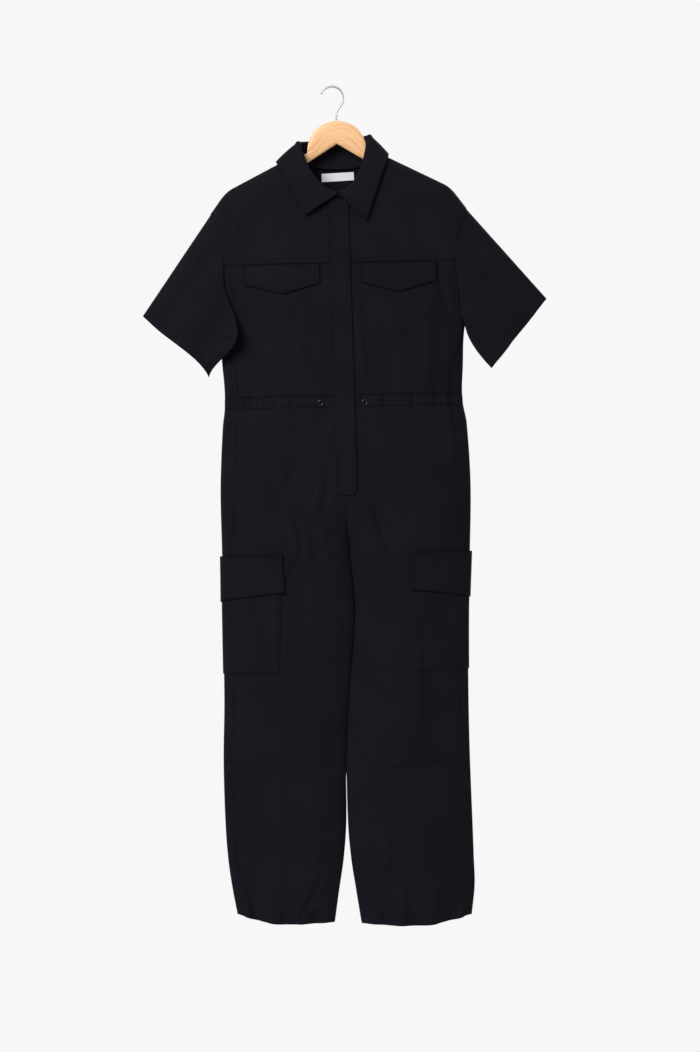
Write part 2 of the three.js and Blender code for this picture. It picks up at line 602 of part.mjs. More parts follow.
function eyelets() {
  const rim = [
    [EYELET.hole, 0],
    [EYELET.rim, 0],
    [EYELET.rim, EYELET.height * 0.5],
    [EYELET.rim * 0.75, EYELET.height],
    [EYELET.hole + 0.4, EYELET.height * 0.8],
    [EYELET.hole, 0],
  ].map(([radius, height]) => new THREE.Vector2(radius, height));
  for (const side of ["right", "left"]) {
    const place = onFront(CENTRE + sideSign[side] * EYELET.across, EYELET.z);
    const mesh = add(`eyelet_${side}`, new THREE.LatheGeometry(rim, 16), materials.gunmetal);
    mesh.rotation.x = Math.PI;
    mesh.position.copy(place).add(new THREE.Vector3(0, -EYELET.lift, 0));
  }
}

// The hanger's front outline: a dome at the neck, arms that follow the shoulder line, and a notched underside.
function hanger() {
  const topAt = (across) => shoulderZ(across) - HANGER.drop;
  const domeCentre = HANGER.domeTop - HANGER.dome;
  const endTop = topAt(HANGER.end);
  const neck = 60;
  const shoulder = topAt(NECK_HALF) + SHOULDER_SLOPE * (NECK_HALF - HANGER.dome) - HANGER.neckDip;
  const shape = new THREE.Shape();
  shape.moveTo(0, HANGER.notch);
  shape.lineTo(neck, HANGER.notch - 37);
  shape.lineTo(HANGER.end - 4, endTop - HANGER.endHeight);
  shape.quadraticCurveTo(HANGER.end + 6, endTop - HANGER.endHeight, HANGER.end + 4, endTop - 8);
  shape.quadraticCurveTo(HANGER.end + 3, endTop - 1, HANGER.end - 5, topAt(HANGER.end - 5));
  shape.lineTo(HANGER.dome, shoulder);
  shape.absarc(0, domeCentre, HANGER.dome, 0, Math.PI, false);
  shape.lineTo(-HANGER.dome, shoulder);
  shape.lineTo(-HANGER.end + 5, topAt(HANGER.end - 5));
  shape.quadraticCurveTo(-HANGER.end - 3, endTop - 1, -HANGER.end - 4, endTop - 8);
  shape.quadraticCurveTo(-HANGER.end - 6, endTop - HANGER.endHeight, -HANGER.end + 4, endTop - HANGER.endHeight);
  shape.lineTo(-neck, HANGER.notch - 37);
  shape.closePath();
  const board = new THREE.ExtrudeGeometry(shape, {
    depth: HANGER.thick - 2 * HANGER.bevel,
    bevelThickness: HANGER.bevel,
    bevelSize: HANGER.bevel,
    bevelOffset: -HANGER.bevel,
    bevelSegments: 2,
    curveSegments: 10,
  });
  board.translate(0, 0, -HANGER.thick / 2 + HANGER.bevel);
  const wood = add("hanger_wood", board, materials.wood);
  wood.rotation.x = Math.PI / 2;
  wood.position.x = CENTRE;
}

// The hook is one bent wire: over the peg in a round bend, then back to the middle and down to the wood.
function hook() {
  const centreZ = HOOK.wire - HOOK.bend;
  const points = [];
  const bendSteps = 12;
  for (let i = 0; i <= bendSteps; i++) {
    const angle = THREE.MathUtils.degToRad(lerp(HOOK.tipAngle, HOOK.leaveAngle, i / bendSteps));
    points.push(new THREE.Vector3(HOOK.bend * Math.cos(angle), 0, centreZ + HOOK.bend * Math.sin(angle)));
  }
  points.push(new THREE.Vector3(CENTRE + 4.5, 0, -40), new THREE.Vector3(CENTRE + 0.6, 0, -47));
  points.push(new THREE.Vector3(CENTRE, 0, -55), new THREE.Vector3(CENTRE, 0, HANGER.domeTop + SEAM));
  const round = new THREE.Shape().absarc(0, 0, HOOK.wire, 0, 2 * Math.PI, false);
  const path = new THREE.CatmullRomCurve3(points, false, "centripetal");
  const wire = new THREE.ExtrudeGeometry(round, { steps: 30, curveSegments: 4, extrudePath: path });
  add("hanger_hook", wire, materials.steel);
}

hanger();
hook();
for (const side of ["right", "left"]) {
  frontYoke(side);
  frontBodice(side);
  trousers(side);
  sleeve(side);
  chestFlap(side);
  cargoPocket(side);
}
backBodice();
waistCasing();
placket();
collar();
neckLabel();
eyelets();

export default jumpsuit;
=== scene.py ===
"""The looks of a short-sleeved cargo jumpsuit that hangs flat on a wooden hanger.

Every cloth piece is a thin closed shell worked out on the same hollow body shape as its solid, with finer
folds, gathers and sewing. Lengths in the tables are millimetres, and meshes are made in metres.
"""

import math

import bpy
import numpy as np
from bpy.props import FloatProperty, FloatVectorProperty, PointerProperty
from mathutils import Matrix, Vector


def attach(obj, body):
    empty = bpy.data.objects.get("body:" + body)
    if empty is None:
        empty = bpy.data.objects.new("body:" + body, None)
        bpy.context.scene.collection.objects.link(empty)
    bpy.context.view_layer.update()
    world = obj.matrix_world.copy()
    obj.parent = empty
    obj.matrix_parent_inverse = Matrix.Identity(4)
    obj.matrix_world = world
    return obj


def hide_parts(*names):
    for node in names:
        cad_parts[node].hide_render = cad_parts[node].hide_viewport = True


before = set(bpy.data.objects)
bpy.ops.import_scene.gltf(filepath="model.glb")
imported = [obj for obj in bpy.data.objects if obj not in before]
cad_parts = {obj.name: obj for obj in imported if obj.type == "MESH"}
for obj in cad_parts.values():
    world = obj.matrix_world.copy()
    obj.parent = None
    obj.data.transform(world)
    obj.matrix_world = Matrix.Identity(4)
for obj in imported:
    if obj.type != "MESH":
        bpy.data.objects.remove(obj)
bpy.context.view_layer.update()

bl_info = {
    "name": "Cargo Jumpsuit on a Hanger",
    "version": (1, 0, 0),
    "blender": (4, 5, 0),
    "location": "View3D > Sidebar > Jumpsuit",
    "description": "Builds a cargo jumpsuit with its sewing and folds, hanging on a wooden hanger",
    "category": "Add Mesh",
}

MM = 0.001
SIGN = {"right": -1, "left": 1}
SIDES = ("right", "left")

# Garment sizes, as in the solids
SEAM = 0.3
CENTRE = 8
NECK_SIDE_Z = -128
SHOULDER_POINT_Z = -238
YOKE_SEAM_Z = -337
UNDERARM_Z = -455
CASING_TOP_Z = -588
WAIST_SEAM_Z = -610
FORK_TOP_Z = -765
CROTCH_Z = -885
NECK_HALF = 82
SHOULDER_BEND = 214
SHOULDER_ROUND = 12
SHOULDER_SLOPE = 0.506
SLEEVE_SLOPE = 1.37
SHOULDER_CAP = 70
FRONT_NECK_DROP = 87
BACK_NECK_DROP = 30
EDGE_POWER = 0.8
TRUNK_SEAM_SHARE = 0.7
LEG_SEAM_SHARE = 0.83
SEAM_RETURN = 90

SECTIONS = [
    dict(z=-128, right=-303, left=317, inner_right=7, inner_left=7, front=33, back=25),
    dict(z=-337, right=-290, left=304, inner_right=7, inner_left=7, front=37, back=28),
    dict(z=-410, right=-252, left=266, inner_right=8, inner_left=8, front=37, back=28),
    dict(z=-455, right=-229, left=245, inner_right=8, inner_left=8, front=36, back=27),
    dict(z=-540, right=-219, left=238, inner_right=9, inner_left=9, front=33, back=25),
    dict(z=-600, right=-216, left=235, inner_right=9, inner_left=9, front=30, back=23),
    dict(z=-645, right=-222, left=243, inner_right=10, inner_left=10, front=32, back=25),
    dict(z=-760, right=-229, left=248, inner_right=10, inner_left=10, front=34, back=26),
    dict(z=-885, right=-229, left=244, inner_right=14.6, inner_left=15.4, front=31, back=25),
    dict(z=-1000, right=-230, left=238, inner_right=21.6, inner_left=22.4, front=28, back=24),
    dict(z=-1163, right=-231, left=235, inner_right=6.6, inner_left=7.4, front=26, back=23),
    dict(z=-1280, right=-235, left=235, inner_right=-1.2, inner_left=-0.2, front=25, back=22),
    dict(z=-1400, right=-234, left=237, inner_right=-3.4, inner_left=-0.6, front=25, back=22),
    dict(z=-1470, right=-230, left=238, inner_right=-10, inner_left=4, front=24, back=21),
    dict(z=-1530, right=-222, left=238, inner_right=-20, inner_left=12, front=21, back=19),
    dict(z=-1600, right=-208, left=227, inner_right=-31, inner_left=22, front=18, back=16),
]

ARMHOLE = [
    dict(z=-238, across=245),
    dict(z=-262, across=233),
    dict(z=-295, across=226),
    dict(z=-345, across=222),
    dict(z=-400, across=225),
    dict(z=-435, across=230),
    dict(z=-455, across=237),
]

SLEEVES = {
    "right": dict(outer=(-370, -428), inner=(-246, -547), depth=17, bow=11, drawn=(0, 0, 0), lap=(38, -44)),
    "left": dict(outer=(401, -412), inner=(293, -542), depth=17, bow=0, drawn=(-12, -4, 4), lap=(0, 0)),
}
SLEEVE_START = -0.9  # a little inside the armhole seam, so that no light comes through it

HEMS = {
    "right": dict(outer=-1572, middle=-1593, inner=-1591),
    "left": dict(outer=-1582, middle=-1601, inner=-1594),
}

# The wide gathers that the solids have, and the small irregular ones between them
WAIST_GATHER = dict(waves=6, height=2.4, reach=34, flat_to=0.05, full_from=0.18)
HEM_GATHER = dict(waves=5, height=2.2, reach=26)
WAIST_PUCKER = dict(waves=(17.3, 27.7), height=(1.3, 1.0), reach=12)
HEM_PUCKER = dict(waves=(9.4, 14.6), height=(1.2, 0.7), reach=20)

# Troughs that the solids have: both ends across and down, half width and depth
FRONT_FOLDS = [
    dict(x1=-66, z1=-800, x2=-44, z2=-895, width=13, depth=3.2),
    dict(x1=-44, z1=-895, x2=-100, z2=-985, width=14, depth=3),
    dict(x1=60, z1=-775, x2=84, z2=-885, width=13, depth=3.2),
    dict(x1=-18, z1=-730, x2=-30, z2=-880, width=10, depth=2.6),
    dict(x1=186, z1=-330, x2=212, z2=-430, width=12, depth=3.4),
    dict(x1=-196, z1=-340, x2=-186, z2=-450, width=12, depth=3),
    dict(x1=-188, z1=-1490, x2=-172, z2=-1575, width=9, depth=3.4),
    dict(x1=-70, z1=-1540, x2=-96, z2=-1575, width=9, depth=3),
]

# Creases, each given as a line across and down, the ridge's half width, and its height, a trough if below 0.
# Each has a shallower trough or ridge beside it, on the side that "beside" gives.
FRONT_CREASES = [
    dict(
        line=((-11, -701), (-7, -756), (-23, -795), (-29, -840), (-33, -880)), width=6, height=2.4, beside=-1
    ),
    dict(line=((-46, -716), (-40, -770), (-52, -812)), width=8, height=1.5, beside=1),
    dict(line=((-91, -804), (-79, -855), (-76, -890), (-110, -940)), width=5, height=-2.6, beside=-1),
    dict(line=((-71, -925), (-40, -905), (-8, -880)), width=6, height=1.4, beside=-1),
    dict(line=((-20, -1008), (2, -1053)), width=5, height=1.4, beside=1),
    dict(line=((-37, -1097), (4, -1088)), width=5, height=1.2, beside=-1),
    dict(line=((-34, -950), (-12, -985)), width=6, height=1.3, beside=-1),
    dict(line=((-75, -722), (-104, -752)), width=4, height=-1.5, beside=1),
    dict(line=((-150, -760), (-128, -828), (-104, -872)), width=9, height=1.4, beside=-1),
    dict(line=((-60, -905), (-88, -960), (-104, -1020)), width=8, height=1.3, beside=1),
    dict(line=((55, -791), (70, -833), (82, -868), (94, -898)), width=5, height=-2.4, beside=-1),
    dict(line=((92, -896), (132, -913)), width=5, height=1.5, beside=1),
    dict(line=((30, -925), (70, -945)), width=6, height=1.2, beside=-1),
    dict(line=((24, -1010), (58, -1042)), width=7, height=1.1, beside=1),
    dict(line=((100, -770), (110, -826), (128, -868)), width=9, height=1.3, beside=1),
    dict(line=((38, -832), (50, -898), (46, -960)), width=8, height=1.4, beside=-1),
    dict(line=((-112, -722), (-108, -772)), width=7, height=1.2, beside=1),
    dict(line=((40, -405), (44, -480), (53, -578)), width=7, height=1.5, beside=1),
    dict(line=((-62, -432), (-70, -500), (-66, -560)), width=10, height=1.3, beside=-1),
    dict(line=((-128, -420), (-124, -500), (-132, -572)), width=10, height=1.6, beside=1),
    dict(line=((112, -424), (118, -508), (110, -574)), width=10, height=1.5, beside=-1),
    dict(line=((170, -410), (176, -492), (168, -570)), width=9, height=1.6, beside=1),
    dict(line=((204, -344), (214, -392), (226, -440)), width=7, height=2.2, beside=-1),
    dict(line=((-210, -350), (-204, -410), (-190, -468)), width=7, height=2.2, beside=1),
    dict(line=((-172, -440), (-182, -505), (-176, -560)), width=8, height=1.4, beside=-1),
    dict(line=((96, -196), (126, -250), (142, -322)), width=13, height=1.1, beside=1),
    dict(line=((-92, -200), (-122, -256), (-138, -326)), width=13, height=1.1, beside=-1),
    dict(line=((168, -204), (196, -262), (214, -318)), width=9, height=1.3, beside=1),
    dict(line=((-158, -206), (-186, -262), (-202, -320)), width=9, height=1.3, beside=-1),
    dict(line=((-128, -985), (-131, -1120), (-127, -1275)), width=6, height=1.3, beside=-1),
    dict(line=((-127, -1300), (-130, -1400), (-126, -1500)), width=6, height=1.2, beside=1),
    dict(line=((140, -985), (143, -1130), (139, -1280)), width=6, height=1.3, beside=1),
    dict(line=((139, -1300), (142, -1400), (138, -1496)), width=6, height=1.2, beside=-1),
    dict(line=((-220, -1281), (-154, -1299), (-84, -1303), (-30, -1306)), width=3.4, height=-2.1, beside=1),
    dict(line=((6, -1304), (98, -1297), (232, -1287)), width=3.4, height=-2.1, beside=1),
    dict(line=((-68, -1150), (-48, -1236), (-62, -1300)), width=12, height=1.5, beside=1),
    dict(line=((-70, -1330), (-52, -1420), (-76, -1520)), width=12, height=1.7, beside=-1),
    dict(line=((70, -1160), (58, -1240), (78, -1330)), width=12, height=1.5, beside=-1),
    dict(line=((60, -1380), (76, -1450), (62, -1540)), width=11, height=1.6, beside=1),
    dict(line=((198, -1320), (190, -1420), (204, -1520)), width=9, height=1.5, beside=1),
    dict(line=((-192, -1340), (-186, -1430), (-200, -1500)), width=9, height=1.5, beside=-1),
    dict(line=((-207, -1486), (-192, -1535), (-179, -1584)), width=5, height=-3.8, beside=-1),
    dict(line=((-46, -1495), (-72, -1545), (-102, -1600)), width=5, height=-3.6, beside=1),
    dict(line=((201, -1476), (178, -1515), (149, -1560)), width=11, height=2.6, beside=1),
    dict(line=((225, -1533), (210, -1562), (195, -1600)), width=5, height=-3.6, beside=1),
    dict(line=((100, -1528), (108, -1590)), width=6, height=1.6, beside=1),
]
BACK_CREASES = [
    dict(line=((-120, -230), (-90, -300), (-104, -380)), width=14, height=1.6, beside=1),
    dict(line=((132, -236), (108, -306), (118, -388)), width=14, height=1.5, beside=-1),
    dict(line=((-196, -300), (-186, -380), (-196, -450)), width=9, height=2.1, beside=1),
    dict(line=((212, -296), (204, -376), (214, -452)), width=9, height=2.1, beside=-1),
    dict(line=((-60, -440), (-52, -510), (-64, -570)), width=10, height=1.6, beside=-1),
    dict(line=((66, -430), (74, -506), (68, -572)), width=10, height=1.5, beside=1),
    dict(line=((-150, -450), (-140, -520), (-152, -574)), width=10, height=1.5, beside=1),
    dict(line=((160, -446), (168, -512), (156, -572)), width=10, height=1.5, beside=-1),
    dict(line=((-20, -800), (-46, -880), (-38, -960)), width=10, height=2.2, beside=-1),
    dict(line=((32, -796), (60, -876), (54, -965)), width=10, height=2.2, beside=1),
    dict(line=((-118, -770), (-96, -840), (-70, -905)), width=9, height=1.7, beside=1),
    dict(line=((130, -764), (108, -846), (84, -910)), width=9, height=1.6, beside=-1),
    dict(line=((-125, -985), (-129, -1130), (-124, -1280)), width=6, height=1.3, beside=1),
    dict(line=((136, -985), (139, -1130), (135, -1280)), width=6, height=1.3, beside=-1),
    dict(line=((-214, -1288), (-110, -1298), (-26, -1306)), width=4, height=-1.5, beside=-1),
    dict(line=((6, -1304), (104, -1299), (214, -1290)), width=4, height=-1.5, beside=-1),
    dict(line=((-60, -1330), (-78, -1420), (-66, -1520)), width=12, height=1.7, beside=1),
    dict(line=((80, -1340), (66, -1430), (80, -1530)), width=12, height=1.6, beside=-1),
    dict(line=((-180, -1350), (-190, -1440), (-178, -1530)), width=9, height=1.6, beside=1),
    dict(line=((196, -1350), (188, -1440), (200, -1540)), width=9, height=1.6, beside=-1),
]

# Folds down the sleeves: place round (0 the top, 0.5 the front, 1 the underarm, 1.5 the back), half width,
# height, and how much the place moves on the way to the cuff
SLEEVE_FOLDS = {
    "right": [
        dict(round=0.5, width=0.1, height=5, drift=0),
        dict(round=0.68, width=0.09, height=-4, drift=0),
        dict(round=0.34, width=0.07, height=-2.4, drift=-0.04),
        dict(round=0.84, width=0.05, height=2.4, drift=-0.05),
        dict(round=1.4, width=0.09, height=2.4, drift=0.05),
        dict(round=1.65, width=0.08, height=-2.0, drift=0.04),
    ],
    "left": [
        dict(round=0.5, width=0.1, height=5, drift=0),
        dict(round=0.68, width=0.09, height=-4, drift=0),
        dict(round=0.3, width=0.06, height=-2.2, drift=0.05),
        dict(round=0.85, width=0.05, height=2.2, drift=0.04),
        dict(round=1.42, width=0.09, height=2.4, drift=-0.05),
        dict(round=1.64, width=0.08, height=-2.0, drift=-0.03),
    ],
}
SOLID_SLEEVE_FOLDS = 2  # the first folds in each list are in the solids too

# Pieces that lie on the panels
PLACKET = dict(top_x=-12.5, bottom_x=-7, width=40, top=-213, bottom=-778, foot=7)
CHEST_FLAP = dict(across=110.5, width=144, side=37, point=56)
CARGO_FLAP = dict(inner=122, top=-889, side=72, point=88)
CARGO_BAG = dict(inner=131, top=-893, bottom=-1113)
EYELET = dict(across=42, z=-602, hole=2.8, rim=6.2, height=1.6, lift=1.2)
LABEL = dict(width=62, height=16, top=-161, tilt=0.04)

FOLD_LINE = dict(half=64, lean=6, front=-36, back=29, low=-207, high=-102, tilt=5)
COLLAR_ROLL = 4
LEAF_STAND_OFF = 6
COLLAR_BACK_EDGE_Z = -160
COLLAR_SIDE = {"right": dict(across=116, z=-146), "left": dict(across=97, z=-136)}
COLLAR_TIPS = {"right": (-54, -247), "left": (60, -260)}
COLLAR_LAP = 0.03

HANGER = dict(dome=57, dome_top=-64, end=206, drop=5, neck_dip=3, end_height=20, thick=12)
NOTCH = dict(top=-108, reach=60, fall=37)
HOOK = dict(wire=1.9, bend=22, tip_angle=158, leave_angle=-32)

# How far a stitch's middle stands off a single panel, and off the face of a doubled or laid piece
STITCH_LIFT = 0.15
THREAD_CLEAR = 0.1

# The stage, in metres: where the camera looks, how far the floor reaches, and the lights, which each have a
# share of the main light's power
VIEW_CENTRE = (0.0162, -0.03, -0.8368)
FLOOR_REACH = 60.0
LIGHTS = {
    "key_light": dict(place=(-2.2, -3.6, 1.6), size=2.4, share=1.0),
    "rim_light": dict(place=(2.6, 2.2, 1.2), size=1.6, share=0.2),
}


def lerp(a, b, t):
    """The value a share t of the way from a to b."""
    return a + (b - a) * t


def clamp(t):
    """A share kept from 0 to 1."""
    return np.clip(t, 0.0, 1.0)


def smooth(t):
    """Rises from 0 to 1 with level ends: three t squared less two t cubed."""
    t = clamp(t)
    return t * t * (3 - 2 * t)


def bell(distance, width):
    """1 at no distance, falling away as a bell whose half width is width."""
    return np.exp(-((distance / width) ** 2))


def level(rows, column, z):
    """A table's column at height z, as a smooth curve through its rows."""
    heights = np.array([row["z"] for row in rows], float)
    values = np.array([row[column] for row in rows], float)
    last = len(rows) - 1
    before = np.maximum(np.arange(last + 1) - 1, 0)
    after = np.minimum(np.arange(last + 1) + 1, last)
    slopes = (values[after] - values[before]) / (heights[after] - heights[before])
    i = np.clip(np.searchsorted(-heights, -np.asarray(z, float), side="right") - 1, 0, last - 1)
    step = heights[i + 1] - heights[i]
    t = clamp((z - heights[i]) / step)
    bend = t * (1 - t) * step * (slopes[i] * (1 - t) - slopes[i + 1] * t)
    return lerp(values[i], values[i + 1], smooth(t)) + bend


def points_of(x, y, z):
    """Stacks three coordinates, spread to one shape, into points."""
    return np.stack(np.broadcast_arrays(x, y, z), axis=-1).astype(float)


def shoulder_z(across):
    """Height of the shoulder line: it slopes to the hanger's end, then turns down into the sleeve.

    The bend is a parabola, whose height is (past + round) squared over four times round.
    """
    out = np.maximum(0, np.abs(across) - NECK_HALF)
    past = out - (SHOULDER_BEND - NECK_HALF)
    in_bend = np.maximum(0, past + SHOULDER_ROUND) ** 2 / (4 * SHOULDER_ROUND)
    turned = np.where(past > SHOULDER_ROUND, past, in_bend)
    return NECK_SIDE_Z - SHOULDER_SLOPE * out - (SLEEVE_SLOPE - SHOULDER_SLOPE) * turned


def cap_at(drop):
    """Share of the full depth at a drop below the shoulder line: a quarter of an ellipse."""
    return np.sqrt(np.maximum(0, 1 - (1 - clamp(drop / SHOULDER_CAP)) ** 2))


def ripples(place, waves, heights):
    """Irregular waves: cosines whose counts share no factor, each swelling and fading slowly."""
    total = 0
    for count, height in zip(waves, heights):
        swell = 0.6 + 0.4 * np.cos(2 * np.pi * place * count * 0.23 + count)
        total = total + height * swell * np.cos(2 * np.pi * place * count + 1.7 * count)
    return total


def waist_gather(q, z):
    """The waist's gathers: wide waves as in the solids, and small puckers close to the casing."""
    ahead = smooth((q - WAIST_GATHER["flat_to"]) / (WAIST_GATHER["full_from"] - WAIST_GATHER["flat_to"]))
    away = np.abs(z - (CASING_TOP_Z + WAIST_SEAM_Z) / 2)
    wide = WAIST_GATHER["height"] * np.cos(2 * np.pi * WAIST_GATHER["waves"] * q)
    small = ripples(q, WAIST_PUCKER["waves"], WAIST_PUCKER["height"])
    wide = wide * np.exp(-away / WAIST_GATHER["reach"])
    small = small * np.exp(-away / WAIST_PUCKER["reach"])
    return ahead * (wide + small)


def hem_gather(q, z):
    """The hems' gathers: wide waves as in the solids, and small puckers at the very hem."""
    up = np.maximum(0, z - HEMS["right"]["outer"])
    wide = HEM_GATHER["height"] * np.exp((HEMS["right"]["outer"] - z) / HEM_GATHER["reach"])
    small = ripples(q, HEM_PUCKER["waves"], HEM_PUCKER["height"]) * np.exp(-up / HEM_PUCKER["reach"])
    edge = smooth(q / 0.08) * smooth((2 - q) / 0.08)
    return wide * np.cos(2 * np.pi * HEM_GATHER["waves"] * q) + small * edge


def fold_depth(x, z):
    """Depth of the solids' troughs at a place on the front."""
    depth = np.zeros(np.broadcast(x, z).shape)
    for fold in FRONT_FOLDS:
        dx, dz = fold["x2"] - fold["x1"], fold["z2"] - fold["z1"]
        t = clamp(((x - fold["x1"]) * dx + (z - fold["z1"]) * dz) / (dx * dx + dz * dz))
        away = np.hypot(x - fold["x1"] - t * dx, z - fold["z1"] - t * dz)
        depth += fold["depth"] * bell(away, fold["width"]) * np.sin(np.pi * lerp(0.2, 0.8, t))
    return depth


def crease_height(creases, x, z):
    """Height of the listed creases: a bell across each line, and a weaker opposite one beside it."""
    shape = np.broadcast(x, z).shape
    total = np.zeros(shape)
    for crease in creases:
        line = np.array(crease["line"], float)
        spans = np.hypot(*np.diff(line, axis=0).T)
        starts = np.concatenate([[0], np.cumsum(spans)]) / spans.sum()
        nearest, across, share = np.full(shape, np.inf), np.zeros(shape), np.zeros(shape)
        for (x1, z1), (x2, z2), span, start in zip(line[:-1], line[1:], spans, starts):
            dx, dz = (x2 - x1) / span, (z2 - z1) / span
            t = np.clip((x - x1) * dx + (z - z1) * dz, 0, span)
            away = np.hypot(x - x1 - t * dx, z - z1 - t * dz)
            closer = away < nearest
            nearest = np.where(closer, away, nearest)
            turned = np.sign((z - z1) * dx - (x - x1) * dz)
            across = np.where(closer, away * turned, across)
            share = np.where(closer, start + t / spans.sum(), share)
        swell = np.sin(np.pi * lerp(0.06, 0.94, clamp(share))) ** 0.8
        width = crease["width"]
        beside = bell(across - crease["beside"] * 1.9 * width, 1.5 * width)
        total += crease["height"] * swell * (bell(nearest, width) - 0.55 * beside)
    return total


def slack(x, z, back):
    """Slow, shallow unevenness of hanging cloth: a few long waves that cross at odd angles."""
    turn = 1.3 if back else 0.0
    waves = (
        0.60 * np.sin(x / 31 + z / 140 + 0.4 + turn)
        + 0.45 * np.sin(x / 19 - z / 95 + 2.1 - turn)
        + 0.40 * np.sin(x / 47 + z / 61 + 4.0 + 2 * turn)
        + 0.24 * np.sin(x / 11.3 + z / 49 + 1.1)
        + 0.20 * np.sin(x / 23 - z / 17 + 0.7 + turn)
    )
    return waves


def seam_pucker(x, z):
    """Small ripples where the yoke seam draws up the cloth, fading away from the seam."""
    near = np.exp(-np.abs(z - YOKE_SEAM_Z) / 9)
    return 0.35 * near * (np.sin(x / 2.9 + 0.6 * np.sin(x / 11)) + 0.6 * np.sin(x / 1.83))


def drape(x, z, back):
    """How far the cloth stands out from the plain form at a place, from all of its creases."""
    strength = bpy.context.scene.jumpsuit_cloth.crease_strength
    small = slack(x, z, back)
    if back:
        return strength * (crease_height(BACK_CREASES, x, z) + small)
    return strength * (crease_height(FRONT_CREASES, x, z) + small + seam_pucker(x, z)) - fold_depth(x, z)


def calm(x, z):
    """1 over open cloth and less under the stiffer pieces that lie on the front."""
    on_placket = smooth((x + 26) / 10) * smooth((46 - x) / 10) * smooth((z + 795) / 12)
    beside = np.abs(np.abs(x - CENTRE) - CHEST_FLAP["across"])
    on_flap = smooth((CHEST_FLAP["width"] / 2 + 8 - beside) / 10) * smooth((z + 400) / 10)
    on_flap = on_flap * smooth((YOKE_SEAM_Z + 4 - z) / 6)
    return 1 - 0.75 * np.maximum(on_placket, on_flap)


def fork_share(z):
    """0 in the trunk and 1 in the legs, rising from the fork's top to the crotch."""
    return smooth((FORK_TOP_Z - z) / (FORK_TOP_Z - CROTCH_Z))


def body(side, q, z):
    """A point of the body's outer face. q runs round the half section: 0 at the centre front or inner leg,
    1 at the outline, 2 at the centre back or inner leg again."""
    sign = SIGN[side]
    q, z = np.broadcast_arrays(np.asarray(q, float), np.asarray(z, float))
    outline = level(SECTIONS, side, z)
    inner = level(SECTIONS, "inner_" + side, z)
    front, back = level(SECTIONS, "front", z), level(SECTIONS, "back", z)
    depth = np.where(q <= 1, -front, back)

    trunk_angle = q * np.pi / 2
    leg_angle = q * np.pi - np.pi / 2
    fork = fork_share(z)
    middle = (level(SECTIONS, "right", z) + level(SECTIONS, "left", z)) / 2
    trunk_x = middle + (outline - middle) * np.sin(trunk_angle)
    leg_x = (outline + inner) / 2 + (outline - inner) / 2 * np.sin(leg_angle)
    x = lerp(trunk_x, leg_x, fork) - sign * pressed(z) * (1 + np.cos(q * np.pi)) / 2
    cap = cap_at(shoulder_z(x - CENTRE) - z)
    is_front = q <= 1
    trunk_reach, leg_reach = np.abs(np.cos(trunk_angle)), np.abs(np.cos(leg_angle))
    y = depth * lerp(trunk_reach**EDGE_POWER, leg_reach**EDGE_POWER, fork) * cap
    outward_y = np.where(is_front, -1, 1) * lerp(trunk_reach, leg_reach, fork)
    gather = waist_gather(q, z) + np.where(z < CROTCH_Z, hem_gather(q, z), 0)
    ahead = np.abs(outward_y)
    stand = np.where(is_front, drape(x, z, False) * calm(x, z), drape(x, z, True)) * ahead * cap
    y = y + outward_y * gather + np.where(is_front, -1, 1) * stand
    x = x + sign * np.sin(trunk_angle) * gather * 0.5
    return points_of(x, y, z)


def chest(x, z, facing):
    """A point of the front (facing -1) or back (1) above the underarm, at a place across and a height."""
    x, z = np.broadcast_arrays(np.asarray(x, float), np.asarray(z, float))
    right, left = level(SECTIONS, "right", z), level(SECTIONS, "left", z)
    share = clamp(np.abs(x - (right + left) / 2) / ((left - right) / 2))
    edge = (1 - share * share) ** (EDGE_POWER / 2)
    depth = np.where(facing < 0, level(SECTIONS, "front", z), level(SECTIONS, "back", z)) * edge
    cap = cap_at(shoulder_z(x - CENTRE) - z)
    stand = np.where(facing < 0, drape(x, z, False) * calm(x, z), drape(x, z, True)) * cap * edge
    return points_of(x, facing * (depth * cap + stand), z)


def share_at(side, x, z):
    """The share q at which the front half section reaches a place across, by halving the interval."""
    x, z = np.broadcast_arrays(np.asarray(x, float), np.asarray(z, float))
    low, high = np.zeros(x.shape), np.ones(x.shape)
    outline = level(SECTIONS, side, z)
    inner = level(SECTIONS, "inner_" + side, z)
    fork = fork_share(z)
    middle = (level(SECTIONS, "right", z) + level(SECTIONS, "left", z)) / 2
    for _ in range(24):
        q = (low + high) / 2
        trunk = middle + (outline - middle) * np.sin(q * np.pi / 2)
        leg = (outline + inner) / 2 + (outline - inner) / 2 * np.sin(q * np.pi - np.pi / 2)
        short = (lerp(trunk, leg, fork) - x) * SIGN[side] < 0
        low, high = np.where(short, q, low), np.where(short, high, q)
    return (low + high) / 2


def on_front(x, z):
    """The point of the front at a place across and a height, on whichever side it falls."""
    x, z = np.broadcast_arrays(np.asarray(x, float), np.asarray(z, float))
    middle = (level(SECTIONS, "right", z) + level(SECTIONS, "left", z)) / 2
    right = body("right", share_at("right", x, z), z)
    left = body("left", share_at("left", x, z), z)
    return np.where((x > middle)[..., None], left, right)


def armhole_x(side, z):
    """Where the armhole seam crosses a height."""
    return CENTRE + SIGN[side] * level(ARMHOLE, "across", z)


def pressed(z):
    """How far each inner leg reaches past its solid, so that the legs touch from the fork to the knee."""
    return 1.6 * smooth((FORK_TOP_Z - z) / 40) * smooth((z + 1330) / 60)


def side_seam(z):
    """The share q of the side seam, which comes round to the front below the underarm."""
    fork = fork_share(z)
    share = lerp(TRUNK_SEAM_SHARE, LEG_SEAM_SHARE, fork)
    return lerp(1, share, smooth((UNDERARM_Z - z) / SEAM_RETURN))


